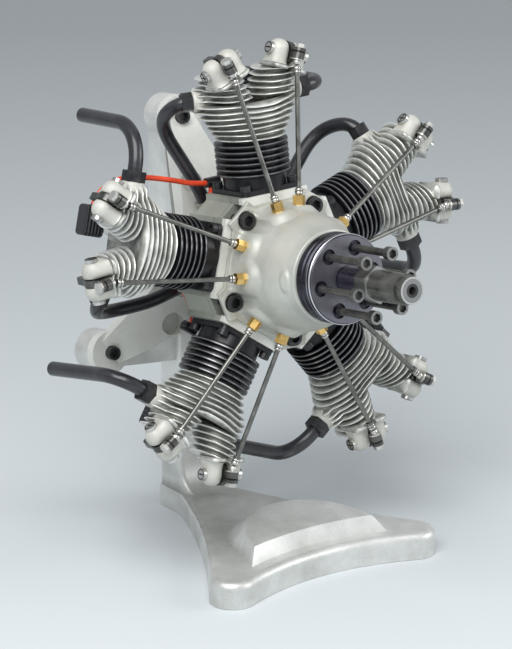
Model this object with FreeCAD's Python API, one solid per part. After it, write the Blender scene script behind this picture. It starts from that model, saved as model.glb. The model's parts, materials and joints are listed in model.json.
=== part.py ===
import FreeCAD, Part
import math
import os

# Radial engine with five cylinders on a cast display stand. Lengths are in millimetres.
# Engine frame: the crank axis is Y, the nose points to -Y, Z is up and Y = 0 is the front joint plane.
# Each cylinder is drawn as the top one and turned about the crank axis.
# Row frame: the whole engine is pitched nose up and lifted by CRANK_HEIGHT; the stand rests on Z = 0.

# Layout
CYLINDERS = 5
PITCH = 10.0
CRANK_HEIGHT = 158.0
TURN = 360.0 / CYLINDERS

# Crankcase
CASE_FRONT = 1.5
CASE_DEPTH = 32.5
CASE_BACK = CASE_FRONT + CASE_DEPTH
CYLINDER_Y = CASE_FRONT + CASE_DEPTH / 2.0 + 0.65
DECK_RADIUS = 39.5
DECK_HALF = 20.4
CORNER_RADIUS = 41.5
CASE_BORE = 28.0
CASE_WALL = 4.0
CASE_HOLE_REST = 6.0
SCREW_GRIP = 8.0

# Front cover
COVER_STRIP = 4.3
COVER_FLANGE = 2.2
COVER_DRUM = 33.4
COVER_SHOULDER = 29.8
SHOULDER_Y = -25.0
NOSE_RADIUS = 24.2
NOSE_Y = -42.4
COVER_WALL = 3.0
COVER_SCREW_CIRCLE = 36.0
CORNER_BOSS = 5.9
CORNER_BOSS_DEPTH = 7.5
CORNER_BOSS_PROUD = 0.6
COUNTERBORE = 4.75
COVER_SCREW_SEAT = 0.5
COVER_SCREW_HEAD = 6.0

# Screws
M5 = 5.0
M5_HEAD = 8.5
M5_HEAD_HEIGHT = 5.0
M4 = 4.0
M4_HEAD = 7.0
M4_HEAD_HEIGHT = 4.0
M3 = 3.0
M3_HEAD = 5.5
M3_HEAD_HEIGHT = 3.0
SOCKET_SHARE = 0.3

# Barrels
BORE = 22.5
STROKE = 20.0
BARREL_SPIGOT = 12.9
SPIGOT_DEPTH = 8.0
FOOT_HALF_X = 17.6
FOOT_HALF_Y = 15.6
FOOT_THICK = 2.6
FOOT_SCREW_X = 14.6
FOOT_SCREW_Y = 12.6
COLLAR_RADIUS = 16.2
COLLAR_TOP = DECK_RADIUS + 8.5
BARREL_ROOT = 14.2
BARREL_FIN_RADIUS = 19.0
BARREL_FINS = 6
FIN_PITCH = 3.05
BARREL_FIN_THICK = 1.3

# Heads
HEAD_BASE = DECK_RADIUS + 26.8
HEAD_FIN_THICK = 1.5
JOINED_FINS = 7
TOWER_FINS = 4
LOW_FIN_X = 18.3
WIDE_FIN_X = 27.0
FIN_Y = 19.0
FIN_DEPTH = 3.8
TOWER_LEAN = 23.4
TOWER_Y = CYLINDER_Y - 2.4
TOWER_FIN_X = 11.3
TOWER_FIN_Y = 14.2
CHAMBER_HEIGHT = 7.5

# Rocker gear, in each tower's own frame: along the pin, rearwards, and out along the lean
PIN_RADIAL = HEAD_BASE + 41.8
PIN_SIDE = 20.45
PIN_Y = CYLINDER_Y - 10.4
PIN_RADIUS = 2.0
PIN_HALF = 10.0
PIN_HEAD = 3.3
PIN_HEAD_THICK = 1.8
EAR_RADIUS = 6.3
EAR_OFFSET = 5.0
ROCKER_SLOT = 4.6
ROCKER_THICK = 3.4
ROCKER_HUB = 5.7
PUSH_ARM = 9.4
ARM_ROOT_HEIGHT = 4.6
ARM_END_HEIGHT = 2.4
VALVE_ARM = 10.0
PAD_RADIUS = 2.0
PAD_DROP = 0.2
KNUCKLE_RADIUS = 3.1
KNUCKLE_SHIFT = 1.2
KNUCKLE_HALF = 3.2
BALL_RADIUS = 1.9
BALL_DROP = 4.2
RUNNING_GAP = 0.3
PIN_CLEARANCE = 0.08

# Valves
STEM_RADIUS = 1.25
STEM_CLEARANCE = 0.06
VALVE_HEAD_RADIUS = 3.5
VALVE_HEAD_THICK = 1.4
VALVE_SEAT = 39.0
SPRING_POCKET = 4.2
POCKET_DEPTH = 17.0
RETAINER_RADIUS = 3.6
RETAINER_THICK = 1.6

# Pushrods and their guides; the inlet side sits further forward than the exhaust side
GUIDE_RADIAL = DECK_RADIUS - 4.8
GUIDE_SIDE = 8.3
INLET_GUIDE_Y = -11.7
EXHAUST_GUIDE_Y = -7.5
GUIDE_HEX = 5.5
GUIDE_HEX_LENGTH = 5.0
GUIDE_STEM = 2.2
GUIDE_STEM_LENGTH = 4.0
GUIDE_BOSS = 5.2
GUIDE_BOSS_LENGTH = 6.5
ROD_RADIUS = 1.25
ROD_CLEARANCE = 0.08
ROD_CAP_RADIUS = 1.95
ROD_CAP_LENGTH = 4.6

# Ports and pipes
INLET_PORT = (-26.6, CYLINDER_Y + 10.3, HEAD_BASE + 22.9)
INLET_ROOT = (-8.0, CYLINDER_Y + 3.1, HEAD_BASE + 22.9)
EXHAUST_PORT = (31.6, CYLINDER_Y + 0.6, HEAD_BASE + 21.1)
EXHAUST_ROOT = (8.0, CYLINDER_Y + 0.6, HEAD_BASE + 21.1)
PORT_BOSS = 6.0
PORT_LOBE = 8.2
LOBE_SETBACK = 2.0
PORT_BORE = 2.8
PORT_BORE_DEPTH = 8.0
INLET_NUT = 9.0
EXHAUST_NUT = 10.6
NUT_LENGTH = 5.6
INLET_PIPE = 7.2
EXHAUST_PIPE = 7.5
PIPE_WALL = 0.8
BEND_SHARE = 0.4
EXHAUST_TAIL = (48.5, 60.0, 53.0, 55.0, 52.0)
EXHAUST_END = (60.0, 74.0, 76.0, 74.0, 62.0)
EXHAUST_RISE = (0.0, 0.0, 3.5, 0.0, 0.0)
EXHAUST_DRIFT = 1.5
ELBOW_SHARE = 0.95

# Inlet distributor, engine mount and carburettor behind the crankcase
DISTRIBUTOR_RADIUS = 31.0
DISTRIBUTOR_DEPTH = 19.0
MOUNT_FRONT = CASE_BACK + DISTRIBUTOR_DEPTH
SOCKET_ANGLE = (22.0, 31.0, 22.0, 24.0, 22.0)
INLET_BOW = (0.0, 4.0, 0.0, -2.0, 0.0)
SOCKET_RADIUS = 5.4
SOCKET_REACH = 36.5
SOCKET_Y = CASE_BACK + 12.5
SOCKET_SEAT = 2.5
SOCKET_DEEP = 20.0
PORT_DEEP = 10.0
PLENUM_RADIUS = 18.0
PLENUM_FRONT = 5.0
PLENUM_REST = 8.0
MOUNT_PLATE = 7.0
MOUNT_BACK = MOUNT_FRONT + MOUNT_PLATE
MOUNT_RING = 30.0
MOUNT_EYE = 15.0
MOUNT_ANGLE = 93.0
MOUNT_ARMS = 3
MOUNT_CIRCLE = 74.0
LUG_RADIUS = 11.2
LUG_FRONT = CASE_BACK + 41.0
LUG_THICK = 5.4
LUG_HOLE_ROOM = 0.4
ARM_ROOT_RADIAL = 21.0
ARM_ROOT_HALF = 22.0
ARM_MID_RADIAL = 43.0
ARM_MID_HALF = 15.0
ARM_MID_STEP = 8.0
ARM_TIP_HALF = 8.0
RECESS_RADIUS = 6.2
RECESS_DEPTH = 5.0
RECESS_RADIAL = 42.6
RECESS_TURN = 11.0
CARB_RADIUS = 11.0
CARB_LENGTH = 21.0
CARB_BORE = 6.0
THROTTLE_RADIUS = 4.5
THROTTLE_Y = 13.0
THROTTLE_LEVER = 14.0
LEVER_ROOT = 4.0
LEVER_TIP = 2.4
LEVER_THICK = 1.7
THROTTLE_OPENING = 3.6
LEVER_EYE = 0.8

# Crankshaft, prop driver and bearings
SHAFT_RADIUS = 7.0
THREAD_RADIUS = 5.0
WEB_THICK = 6.0
WEB_Y = 5.0
COUNTERWEIGHT_RADIUS = 22.0
PIN_THROW = STROKE / 2.0
CRANKPIN_RADIUS = 5.0
CRANKPIN_LENGTH = 15.0
BEARING_RADIUS = 13.0
BEARING_WIDTH = 8.0
FRONT_BEARING_Y = -40.0
REAR_BEARING_Y = -8.0
DRIVER_RADIUS = 23.2
DRIVER_FRONT = -55.0
DRIVER_BACK = -43.5
DRIVER_SLEEVE = 6.8
SLEEVE_FRONT = -73.0
SHAFT_STEP = 12.0
SHAFT_NECK = 5.5
GROOVE_SHARES = (0.34, 0.62)
BOLT_SINK = 4.0
BOLT_SINK_DEPTH = 1.2
RIM_GROOVE = 0.7
PROP_BOLTS = 6
PROP_BOLT_CIRCLE = 16.4
PROP_BOLT_FRONT = -87.0
PROP_BOLT_TURN = 6.0
NUT_HEX = 17.0
NUT_HEX_LENGTH = 9.0
NUT_BODY = 8.0
NUT_BODY_FRONT = -105.0
NUT_TIP = 7.0
NUT_TIP_FRONT = -110.0
NUT_BORE = 2.1

# Pistons
PISTON_CLEARANCE = 0.06
PISTON_HEIGHT = 15.0
PISTON_WALL = 1.6
CROWN_TOP = 64.8
ROD_LENGTH = 38.0

# Stand
STAND_THICK = 12.0
BASE_THICK = 14.0
TOE_X = 57.3
TOE_Y = -35.2
TOE_RADIUS = 12.0
TOE_TURN = 37.0
FRONT_HOLLOW = -35.0
NECK_HALF = 12.0
NECK_FRONT = 77.0
NECK_BACK = 96.0
HEAD_BACK = 105.0
COLUMN_CORNER = 3.0
COLUMN_FOOT = 14.0
COLUMN_HEAD = 12.0
WAIST_X = 32.0
WAIST_Y = 30.0
BASE_ROUND = 4.0
HUMP_CORNER = (43.3, -32.4)
HUMP_SIDE = (36.0, -12.0)
HUMP_FRONT = -25.0
HUMP_BACK = 25.0
CREST_CORNER = (37.5, -26.5)
CREST_SIDE = (33.5, -14.0)
CREST_FRONT = -22.5
CREST_BACK = 9.0
CREST_HEIGHT = 8.2
CREST_TILT = 0.1
ARM_DEPTH = 10.0
ARM_ROOT = 24.0
ARM_TIP = 17.0
ARM_DROP = 6.0
STAND_HOLE = 10.0

# Plug lead and caps
PLUG_RADIUS = 3.2
PLUG_ROOT = (0.0, CYLINDER_Y + 3.6, HEAD_BASE + 7.7)
PLUG_WAY = (8.0, 14.0, 18.0)
PLUG_SEAT = 17.0
PLUG_LENGTH = 9.0
PLUG_BOSS = 4.8
PLUG_ROOM = 5.4
CAP_SIZE = (16.0, 10.0, 12.0)
CAP_PLACE = (9.0, CYLINDER_Y + 18.2, HEAD_BASE + 27.4)
CAP_RISE = (0.0, 3.5, 0.0, 0.0, 0.0)
CAP_ROUND = 2.0
LEAD_RADIUS = 1.4
CONNECTOR_RADIUS = 2.6
CONNECTOR_LENGTH = 8.0
CONNECTOR_SIDE = 14.0
CONNECTOR_RADIAL = 44.5


def vec(x, y, z):
    return FreeCAD.Vector(x, y, z)


ORIGIN = vec(0, 0, 0)
OUT = vec(0, 0, 1)
REAR = vec(0, 1, 0)
RIGHT = vec(1, 0, 0)


def fused(shapes):
    """One solid from overlapping solids."""
    whole = shapes[0].multiFuse(shapes[1:])
    return whole.removeSplitter()


def around(shape, angle):
    """A copy turned about the crank axis, anticlockwise seen from the nose."""
    turned = shape.copy()
    turned.rotate(ORIGIN, vec(0, -1, 0), angle)
    return turned


def mirrored(shape):
    """The same shape on the other side of the cylinder's mid plane."""
    return shape.mirror(ORIGIN, RIGHT)


def each_cylinder(shape):
    return [around(shape, index * TURN) for index in range(CYLINDERS)]


def for_towers(draw):
    """What draw makes for each rocker tower, at all cylinders."""
    return [turned for tower in TOWERS.values() for turned in each_cylinder(draw(tower))]


def in_place(shape):
    """From the engine frame to the row frame."""
    placed = shape.copy()
    placed.rotate(ORIGIN, RIGHT, -PITCH)
    placed.translate(vec(0, 0, CRANK_HEIGHT))
    return placed


def rod(start, direction, radius, length):
    return Part.makeCylinder(radius, length, start, direction)


def revolved_y(profile):
    """Solid of revolution about the crank axis from (radius, y) corners."""
    corners = [vec(radius, y, 0) for radius, y in profile]
    face = Part.Face(Part.makePolygon(corners + [corners[0]]))
    return face.revolve(ORIGIN, REAR, 360)


def prism(corners, direction):
    face = Part.Face(Part.makePolygon(corners + [corners[0]]))
    return face.extrude(direction)


def hexagon(centre, direction, flats, length):
    """Hexagonal bar that starts at centre and runs along direction."""
    corner = flats / math.sqrt(3.0)
    angles = [math.radians(60 * index + 30) for index in range(6)]
    corners = [vec(corner * math.cos(angle), corner * math.sin(angle), 0) for angle in angles]
    bar = prism(corners, vec(0, 0, length))
    bar.Placement = FreeCAD.Placement(centre, FreeCAD.Rotation(OUT, direction))
    return bar


def socket_screw(seat, direction, shank, head, head_height, length):
    """Cap screw with a hexagon socket; direction points from the seat to the head's face."""
    body = rod(seat, direction, head / 2.0, head_height)
    stem = rod(seat - direction * length, direction, shank / 2.0, length + 0.5)
    socket_depth = head_height / 2.0
    socket = hexagon(seat + direction * (head_height - socket_depth), direction,
                     2.0 * SOCKET_SHARE * head, socket_depth + 1.0)
    return fused([body, stem]).cut(socket)


def ellipse_plate(half_x, half_y, centre, thick):
    """Flat oval plate, level with the deck."""
    if half_x >= half_y:
        curve = Part.Ellipse(centre + vec(half_x, 0, 0), centre + vec(0, half_y, 0), centre)
    else:
        curve = Part.Ellipse(centre + vec(0, half_y, 0), centre + vec(-half_x, 0, 0), centre)
    return Part.Face(Part.Wire(curve.toShape())).extrude(vec(0, 0, thick))


def path_wire(points, bends):
    """Straight runs joined by tangent arcs; one bend radius for each inner point."""
    edges = []
    last = points[0]
    for index in range(1, len(points) - 1):
        corner = points[index]
        back = (points[index - 1] - corner).normalize()
        ahead = (points[index + 1] - corner).normalize()
        half = back.getAngle(ahead) / 2.0
        reach = bends[index - 1] / math.tan(half)
        start = corner + back * reach
        end = corner + ahead * reach
        middle_way = (back + ahead).normalize()
        centre = corner + middle_way * (bends[index - 1] / math.sin(half))
        middle = centre - middle_way * bends[index - 1]
        edges.append(Part.makeLine(last, start))
        edges.append(Part.Arc(start, middle, end).toShape())
        last = end
    edges.append(Part.makeLine(last, points[-1]))
    return Part.Wire(edges)


def easy_bends(points):
    """Bend radii that use the same share of the shorter run at each corner."""
    bends = []
    for index in range(1, len(points) - 1):
        back = points[index - 1] - points[index]
        ahead = points[index + 1] - points[index]
        half = back.getAngle(ahead) / 2.0
        bends.append(BEND_SHARE * min(back.Length, ahead.Length) * math.tan(half))
    return bends


def swept(points, bends, radius):
    wire = path_wire(points, bends)
    direction = points[1] - points[0]
    circle = Part.Wire(Part.makeCircle(radius, points[0], direction))
    return wire.makePipeShell([circle], True, False)


def pipe(points, bends, diameter):
    """Open tube along straight runs and arcs."""
    outside = swept(points, bends, diameter / 2.0)
    inside = swept(points, bends, diameter / 2.0 - PIPE_WALL)
    return outside.cut(inside)


class Tower:
    """Local frame of one rocker tower. side is -1 for the inlet and +1 for the exhaust."""

    def __init__(self, side):
        lean = math.radians(TOWER_LEAN)
        self.side = side
        self.out = vec(side * math.sin(lean), 0, math.cos(lean))
        self.pin = vec(side * math.cos(lean), 0, -math.sin(lean))
        self.centre = vec(side * PIN_SIDE, PIN_Y, PIN_RADIAL)
        guide_y = INLET_GUIDE_Y if side < 0 else EXHAUST_GUIDE_Y
        self.guide = vec(side * GUIDE_SIDE, guide_y, GUIDE_RADIAL)
        self.ball = self.at(KNUCKLE_SHIFT, -PUSH_ARM, -BALL_DROP)
        self.rod_way = (self.ball - self.guide).normalize()

    def at(self, along_pin, rearwards, outwards):
        return self.centre + self.pin * along_pin + REAR * rearwards + self.out * outwards

    def placed(self, shape):
        """Shape drawn with X along the pin, Y rearwards and Z out, moved to the tower."""
        moved = mirrored(shape) if self.side < 0 else shape.copy()
        turn = FreeCAD.Rotation(vec(0, 1, 0), self.side * TOWER_LEAN)
        moved.Placement = FreeCAD.Placement(self.centre, turn).multiply(moved.Placement)
        return moved

    def lean_x(self, radial):
        """Sideways place of the tower's axis at a radial height."""
        return self.side * (PIN_SIDE - (PIN_RADIAL - radial) * math.tan(math.radians(TOWER_LEAN)))


TOWERS = {"inlet": Tower(-1), "exhaust": Tower(1)}


def case_outline(deck, corner, half):
    """Front view of the five decks with cut corners, as points in order."""
    step = math.radians(TURN / 2.0)
    shoulder = (corner - half * math.sin(step)) / math.cos(step)
    points = []
    for index in range(CYLINDERS):
        angle = math.radians(index * TURN)
        for x, z in ((-half, shoulder), (-half, deck), (half, deck), (half, shoulder)):
            turned_x = x * math.cos(angle) + z * math.sin(angle)
            turned_z = -x * math.sin(angle) + z * math.cos(angle)
            points.append((turned_x, turned_z))
    return points


def corner_at(index, radius, y):
    angle = math.radians(90.0 + TURN / 2.0 + index * TURN)
    return vec(radius * math.cos(angle), y, radius * math.sin(angle))


def corner_boss(index, y, depth, radius):
    """Round boss at one corner, run out square to the corner face."""
    round_part = rod(corner_at(index, COVER_SCREW_CIRCLE, y), REAR, radius, depth)
    reach = CORNER_RADIUS - COVER_SCREW_CIRCLE
    block = Part.makeBox(2 * radius, depth, reach, vec(-radius, y, COVER_SCREW_CIRCLE))
    block = around(block, TURN / 2.0 + index * TURN)
    return fused([round_part, block])


def crankcase():
    outline = case_outline(DECK_RADIUS, CORNER_RADIUS, DECK_HALF)
    corners = [vec(x, CASE_FRONT, z) for x, z in outline]
    body = prism(corners, vec(0, CASE_DEPTH, 0))
    cavity = rod(vec(0, CASE_FRONT - 1, 0), REAR, CASE_BORE, CASE_DEPTH + 1 - CASE_WALL)
    cuts = [cavity]
    cuts += each_cylinder(rod(vec(0, CYLINDER_Y, 0), OUT, BARREL_SPIGOT, DECK_RADIUS + 5))
    for index in range(CYLINDERS):
        cuts.append(corner_boss(index, CASE_FRONT - 1, CORNER_BOSS_DEPTH + 1, CORNER_BOSS))
        hole = corner_at(index, COVER_SCREW_CIRCLE, CASE_FRONT)
        cuts.append(rod(hole, REAR, M5 / 2.0, CASE_DEPTH - CASE_HOLE_REST))
    for hole in foot_screw_places(DECK_RADIUS - SCREW_GRIP):
        cuts += each_cylinder(rod(hole, OUT, M3 / 2.0, SCREW_GRIP + 2.0))
    return body.cut(cuts)


def cover_profile():
    """Outer and inner corners of the bell, as radius and y."""
    outer = [(COVER_DRUM, CASE_FRONT), (COVER_DRUM, -4.0), (COVER_DRUM - 1.6, -13.0),
             (COVER_SHOULDER + 0.3, SHOULDER_Y + 3), (COVER_SHOULDER - 0.6, SHOULDER_Y - 2),
             (COVER_SHOULDER - 2.2, SHOULDER_Y - 6), (NOSE_RADIUS + 0.8, NOSE_Y + 4),
             (NOSE_RADIUS, NOSE_Y)]
    hub = [(SHAFT_RADIUS + 1.0, NOSE_Y), (SHAFT_RADIUS + 1.0, FRONT_BEARING_Y),
           (BEARING_RADIUS, FRONT_BEARING_Y), (BEARING_RADIUS, REAR_BEARING_Y + BEARING_WIDTH),
           (BEARING_RADIUS + COVER_WALL, REAR_BEARING_Y + BEARING_WIDTH),
           (BEARING_RADIUS + COVER_WALL, NOSE_Y + 10)]
    inner = [(NOSE_RADIUS - 1.0, NOSE_Y + 10), (COVER_SHOULDER - COVER_WALL, SHOULDER_Y),
             (CASE_BORE, -10.0), (CASE_BORE, CASE_FRONT)]
    return outer + hub + inner


def front_cover():
    bell = revolved_y(cover_profile())
    outline = case_outline(DECK_RADIUS - COVER_STRIP, CORNER_RADIUS, DECK_HALF - 4.0)
    corners = [vec(x, CASE_FRONT - COVER_FLANGE, z) for x, z in outline]
    flange = prism(corners, vec(0, COVER_FLANGE, 0))
    flange = flange.cut(rod(vec(0, -10, 0), REAR, CASE_BORE, 20))
    pieces = [bell, flange]
    boss_front = CASE_FRONT - COVER_FLANGE - CORNER_BOSS_PROUD
    boss_depth = CORNER_BOSS_DEPTH + COVER_FLANGE + CORNER_BOSS_PROUD
    for index in range(CYLINDERS):
        pieces.append(corner_boss(index, boss_front, boss_depth, CORNER_BOSS))
    for tower in TOWERS.values():
        start = tower.guide - tower.rod_way * (GUIDE_HEX_LENGTH / 2.0 + GUIDE_BOSS_LENGTH)
        boss = rod(start, tower.rod_way, GUIDE_BOSS, GUIDE_BOSS_LENGTH)
        pieces += each_cylinder(boss)
    body = fused(pieces)
    cuts = []
    seat = CASE_FRONT + COVER_SCREW_SEAT
    for index in range(CYLINDERS):
        hole = corner_at(index, COVER_SCREW_CIRCLE, -10)
        cuts.append(rod(hole, REAR, COUNTERBORE, seat + 10))
        cuts.append(rod(hole, REAR, M5 / 2.0, 30))
    for tower in TOWERS.values():
        start = tower.guide - tower.rod_way * (GUIDE_HEX_LENGTH / 2.0 + GUIDE_STEM_LENGTH)
        stem = rod(start, tower.rod_way, GUIDE_STEM, GUIDE_STEM_LENGTH)
        bore = rod(start - tower.rod_way * 6.0, tower.rod_way, ROD_RADIUS + 0.4, 8.0)
        face = rod(start + tower.rod_way * GUIDE_STEM_LENGTH, tower.rod_way, GUIDE_BOSS, GUIDE_HEX_LENGTH)
        cuts += each_cylinder(stem)
        cuts += each_cylinder(bore)
        cuts += each_cylinder(face)
    return body.cut(cuts)


def cover_screws():
    seat = CASE_FRONT + COVER_SCREW_SEAT
    screws = []
    for index in range(CYLINDERS):
        place = corner_at(index, COVER_SCREW_CIRCLE, seat)
        screws.append(socket_screw(place, -REAR, M5, M5_HEAD, COVER_SCREW_HEAD, 20.0))
    return screws


def tappet_guide(tower):
    """Brass guide with a hexagon, screwed into its boss; the pushrod runs in it."""
    way = tower.rod_way
    base = tower.guide - way * (GUIDE_HEX_LENGTH / 2.0)
    head = hexagon(base, way, GUIDE_HEX, GUIDE_HEX_LENGTH)
    stem = rod(base - way * GUIDE_STEM_LENGTH, way, GUIDE_STEM, GUIDE_STEM_LENGTH + 0.5)
    bore = rod(base - way * (GUIDE_STEM_LENGTH + 1), way, ROD_RADIUS + ROD_CLEARANCE, 12.0)
    return fused([head, stem]).cut(bore)


def pushrod(tower):
    """Rod with a turned cap at each end; the upper cap carries the cup under the ball."""
    way = tower.rod_way
    start = tower.guide - way * (GUIDE_HEX_LENGTH / 2.0 + GUIDE_STEM_LENGTH)
    end = tower.ball - way * (BALL_RADIUS + RUNNING_GAP)
    length = (end - start).Length
    shaft = rod(start, way, ROD_RADIUS, length)
    low_cap = tower.guide + way * (GUIDE_HEX_LENGTH / 2.0 + RUNNING_GAP)
    caps = [rod(low_cap, way, ROD_CAP_RADIUS, ROD_CAP_LENGTH * 0.6),
            rod(end - way * ROD_CAP_LENGTH, way, ROD_CAP_RADIUS, ROD_CAP_LENGTH)]
    return fused([shaft] + caps)


def foot_screw_places(height):
    return [vec(side * FOOT_SCREW_X, CYLINDER_Y + end * FOOT_SCREW_Y, height)
            for side in (-1, 1) for end in (-1, 1)]


def barrel():
    centre = vec(0, CYLINDER_Y, 0)
    base = DECK_RADIUS
    foot = Part.makeBox(2 * FOOT_HALF_X, 2 * FOOT_HALF_Y, FOOT_THICK,
                        vec(-FOOT_HALF_X, CYLINDER_Y - FOOT_HALF_Y, base))
    corners = [edge for edge in foot.Edges if abs(edge.tangentAt(0).z) > 0.9]
    foot = foot.makeFillet(3.0, corners)
    pieces = [foot,
              rod(centre + OUT * (base - SPIGOT_DEPTH), OUT, BARREL_SPIGOT, SPIGOT_DEPTH + 1),
              rod(centre + OUT * base, OUT, COLLAR_RADIUS, COLLAR_TOP - base),
              rod(centre + OUT * base, OUT, BARREL_ROOT, HEAD_BASE - base)]
    first = HEAD_BASE - BARREL_FINS * FIN_PITCH + FIN_PITCH / 2.0 - BARREL_FIN_THICK / 2.0
    for index in range(BARREL_FINS):
        height = first + index * FIN_PITCH
        pieces.append(rod(centre + OUT * height, OUT, BARREL_FIN_RADIUS, BARREL_FIN_THICK))
    body = fused(pieces)
    cuts = [rod(centre, OUT, BORE / 2.0, HEAD_BASE + 5)]
    for place in foot_screw_places(base + FOOT_THICK):
        cuts.append(rod(place, OUT, M3_HEAD / 2.0 + 0.3, COLLAR_TOP - base - FOOT_THICK - 1.0))
        cuts.append(rod(place - OUT * 5, OUT, M3 / 2.0, 6.0))
    return body.cut(cuts)


def barrel_screws():
    screws = []
    for place in foot_screw_places(DECK_RADIUS + FOOT_THICK):
        screws.append(socket_screw(place, OUT, M3, M3_HEAD, M3_HEAD_HEIGHT, SCREW_GRIP))
    return screws


def joined_half_x(index):
    """The lower fins widen from the barrel to the foot of the towers."""
    share = min(1.0, index / (JOINED_FINS - 3.0))
    return LOW_FIN_X + (WIDE_FIN_X - LOW_FIN_X) * share


def fin_height(index):
    return HEAD_BASE + 0.8 + index * FIN_PITCH


def head_core():
    """Solid metal inside the fins: a widening oval block and two leaning tower cores."""
    top = fin_height(JOINED_FINS)
    wires = []
    for height, half_x in ((HEAD_BASE, LOW_FIN_X - FIN_DEPTH), (top, WIDE_FIN_X - FIN_DEPTH - 2.0)):
        middle = vec(0, CYLINDER_Y, height)
        half_y = FIN_Y - FIN_DEPTH
        major = max(half_x, half_y + 0.001)
        if half_x < half_y:
            curve = Part.Ellipse(middle + vec(0, half_y, 0), middle + vec(-half_x, 0, 0), middle)
        else:
            curve = Part.Ellipse(middle + vec(major, 0, 0), middle + vec(0, half_y, 0), middle)
        wires.append(Part.Wire(curve.toShape()))
    pieces = [Part.makeLoft(wires, True, True)]
    tower_top = fin_height(JOINED_FINS + TOWER_FINS)
    for tower in TOWERS.values():
        low = vec(tower.lean_x(top - 4), TOWER_Y, top - 4)
        high = vec(tower.lean_x(tower_top), TOWER_Y, tower_top)
        half_x = TOWER_FIN_X - FIN_DEPTH + 0.6
        half_y = TOWER_FIN_Y - FIN_DEPTH + 0.6
        curve = Part.Ellipse(low + vec(0, half_y, 0), low + vec(-half_x, 0, 0), low)
        pieces.append(Part.Face(Part.Wire(curve.toShape())).extrude(high - low))
    return pieces


def head_fins():
    fins = []
    for index in range(JOINED_FINS):
        centre = vec(0, CYLINDER_Y, fin_height(index))
        fins.append(ellipse_plate(joined_half_x(index), FIN_Y, centre, HEAD_FIN_THICK))
    for index in range(JOINED_FINS, JOINED_FINS + TOWER_FINS + 1):
        for tower in TOWERS.values():
            height = fin_height(index)
            centre = vec(tower.lean_x(height), TOWER_Y, height)
            fins.append(ellipse_plate(TOWER_FIN_X, TOWER_FIN_Y, centre, HEAD_FIN_THICK))
    return fins


def port_lobes(root, mouth):
    """Rounded tongues of the fins around one port, widest at the port's height."""
    lobes = []
    start = vec(root[0], root[1], 0)
    end = vec(mouth[0], mouth[1], 0)
    way = (end - start).normalize()
    end = end - way * LOBE_SETBACK
    side = way.cross(OUT)
    for index in range(JOINED_FINS + TOWER_FINS + 1):
        height = fin_height(index)
        offset = abs(height + HEAD_FIN_THICK / 2.0 - mouth[2])
        if offset > 0.8 * PORT_LOBE:
            continue
        half = math.sqrt(PORT_LOBE ** 2 - offset ** 2)
        corners = [start + side * half, end - way * half + side * half,
                   end - way * half - side * half, start - side * half]
        lobes.append(prism([corner + OUT * height for corner in corners], OUT * HEAD_FIN_THICK))
        lobes.append(rod(end - way * half + OUT * height, OUT, half, HEAD_FIN_THICK))
    return lobes


def rocker_ears(tower):
    """Two round posts with domed tops, one each side of the rocker."""
    ears = []
    for side in (-1, 1):
        post = rod(vec(side * EAR_OFFSET, 0, -8.5), OUT, EAR_RADIUS, 8.5)
        dome = Part.makeSphere(EAR_RADIUS, vec(side * EAR_OFFSET, 0, 0))
        spot = rod(vec(side * PIN_HALF, 0, 0), RIGHT * side, 4.2, 5.0)
        ears.append(fused([post, dome]).cut(spot))
    return [tower.placed(ear) for ear in ears]


def rocker_cuts(tower):
    """Slot for the rocker, pin hole, spring pocket and valve guide hole."""
    slot = Part.makeBox(ROCKER_SLOT, 40.0, 20.0, vec(-ROCKER_SLOT / 2.0, -20.0, -ROCKER_HUB - 1.0))
    pin_hole = rod(vec(-15, 0, 0), RIGHT, PIN_RADIUS, 30)
    pocket = rod(vec(0, VALVE_ARM, -POCKET_DEPTH), OUT, SPRING_POCKET, POCKET_DEPTH + 10)
    guide = rod(vec(0, VALVE_ARM, -VALVE_SEAT - 5), OUT, STEM_RADIUS + STEM_CLEARANCE, VALVE_SEAT)
    seat = rod(vec(0, VALVE_ARM, -VALVE_SEAT - 6), OUT, VALVE_HEAD_RADIUS + 0.2, 6.0 + 0.2)
    return [tower.placed(cut) for cut in (slot, pin_hole, pocket, guide, seat)]


def port_boss(root, mouth):
    start = vec(*root)
    end = vec(*mouth)
    way = (end - start).normalize()
    return rod(start, way, PORT_BOSS, (end - start).Length)


def port_bore(root, mouth):
    end = vec(*mouth)
    way = (end - vec(*root)).normalize()
    return rod(end - way * PORT_BORE_DEPTH, way, PORT_BORE, PORT_BORE_DEPTH + 1)


def plug_way():
    return vec(*PLUG_WAY).normalize()


def plug_seat():
    """Where the glow plug meets its boss, at the rear of the head between the towers."""
    return vec(*PLUG_ROOT) + plug_way() * PLUG_SEAT


def cylinder_head():
    pieces = head_core() + head_fins()
    for tower in TOWERS.values():
        pieces += rocker_ears(tower)
    pieces.append(port_boss(INLET_ROOT, INLET_PORT))
    pieces.append(port_boss(EXHAUST_ROOT, EXHAUST_PORT))
    pieces += port_lobes(INLET_ROOT, INLET_PORT)
    pieces += port_lobes(EXHAUST_ROOT, EXHAUST_PORT)
    pieces.append(rod(vec(*PLUG_ROOT) + plug_way() * 3.0, plug_way(), PLUG_BOSS, PLUG_SEAT - 3.0))
    body = fused(pieces)
    radius = BORE / 2.0
    sphere = (radius ** 2 + CHAMBER_HEIGHT ** 2) / (2 * CHAMBER_HEIGHT)
    chamber = Part.makeSphere(sphere, vec(0, CYLINDER_Y, HEAD_BASE + CHAMBER_HEIGHT - sphere))
    cuts = [chamber, port_bore(INLET_ROOT, INLET_PORT), port_bore(EXHAUST_ROOT, EXHAUST_PORT)]
    for tower in TOWERS.values():
        cuts += rocker_cuts(tower)
    cuts.append(rod(plug_seat(), plug_way(), PLUG_ROOM, 2.0 * PLUG_LENGTH))
    return body.cut(cuts)


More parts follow.
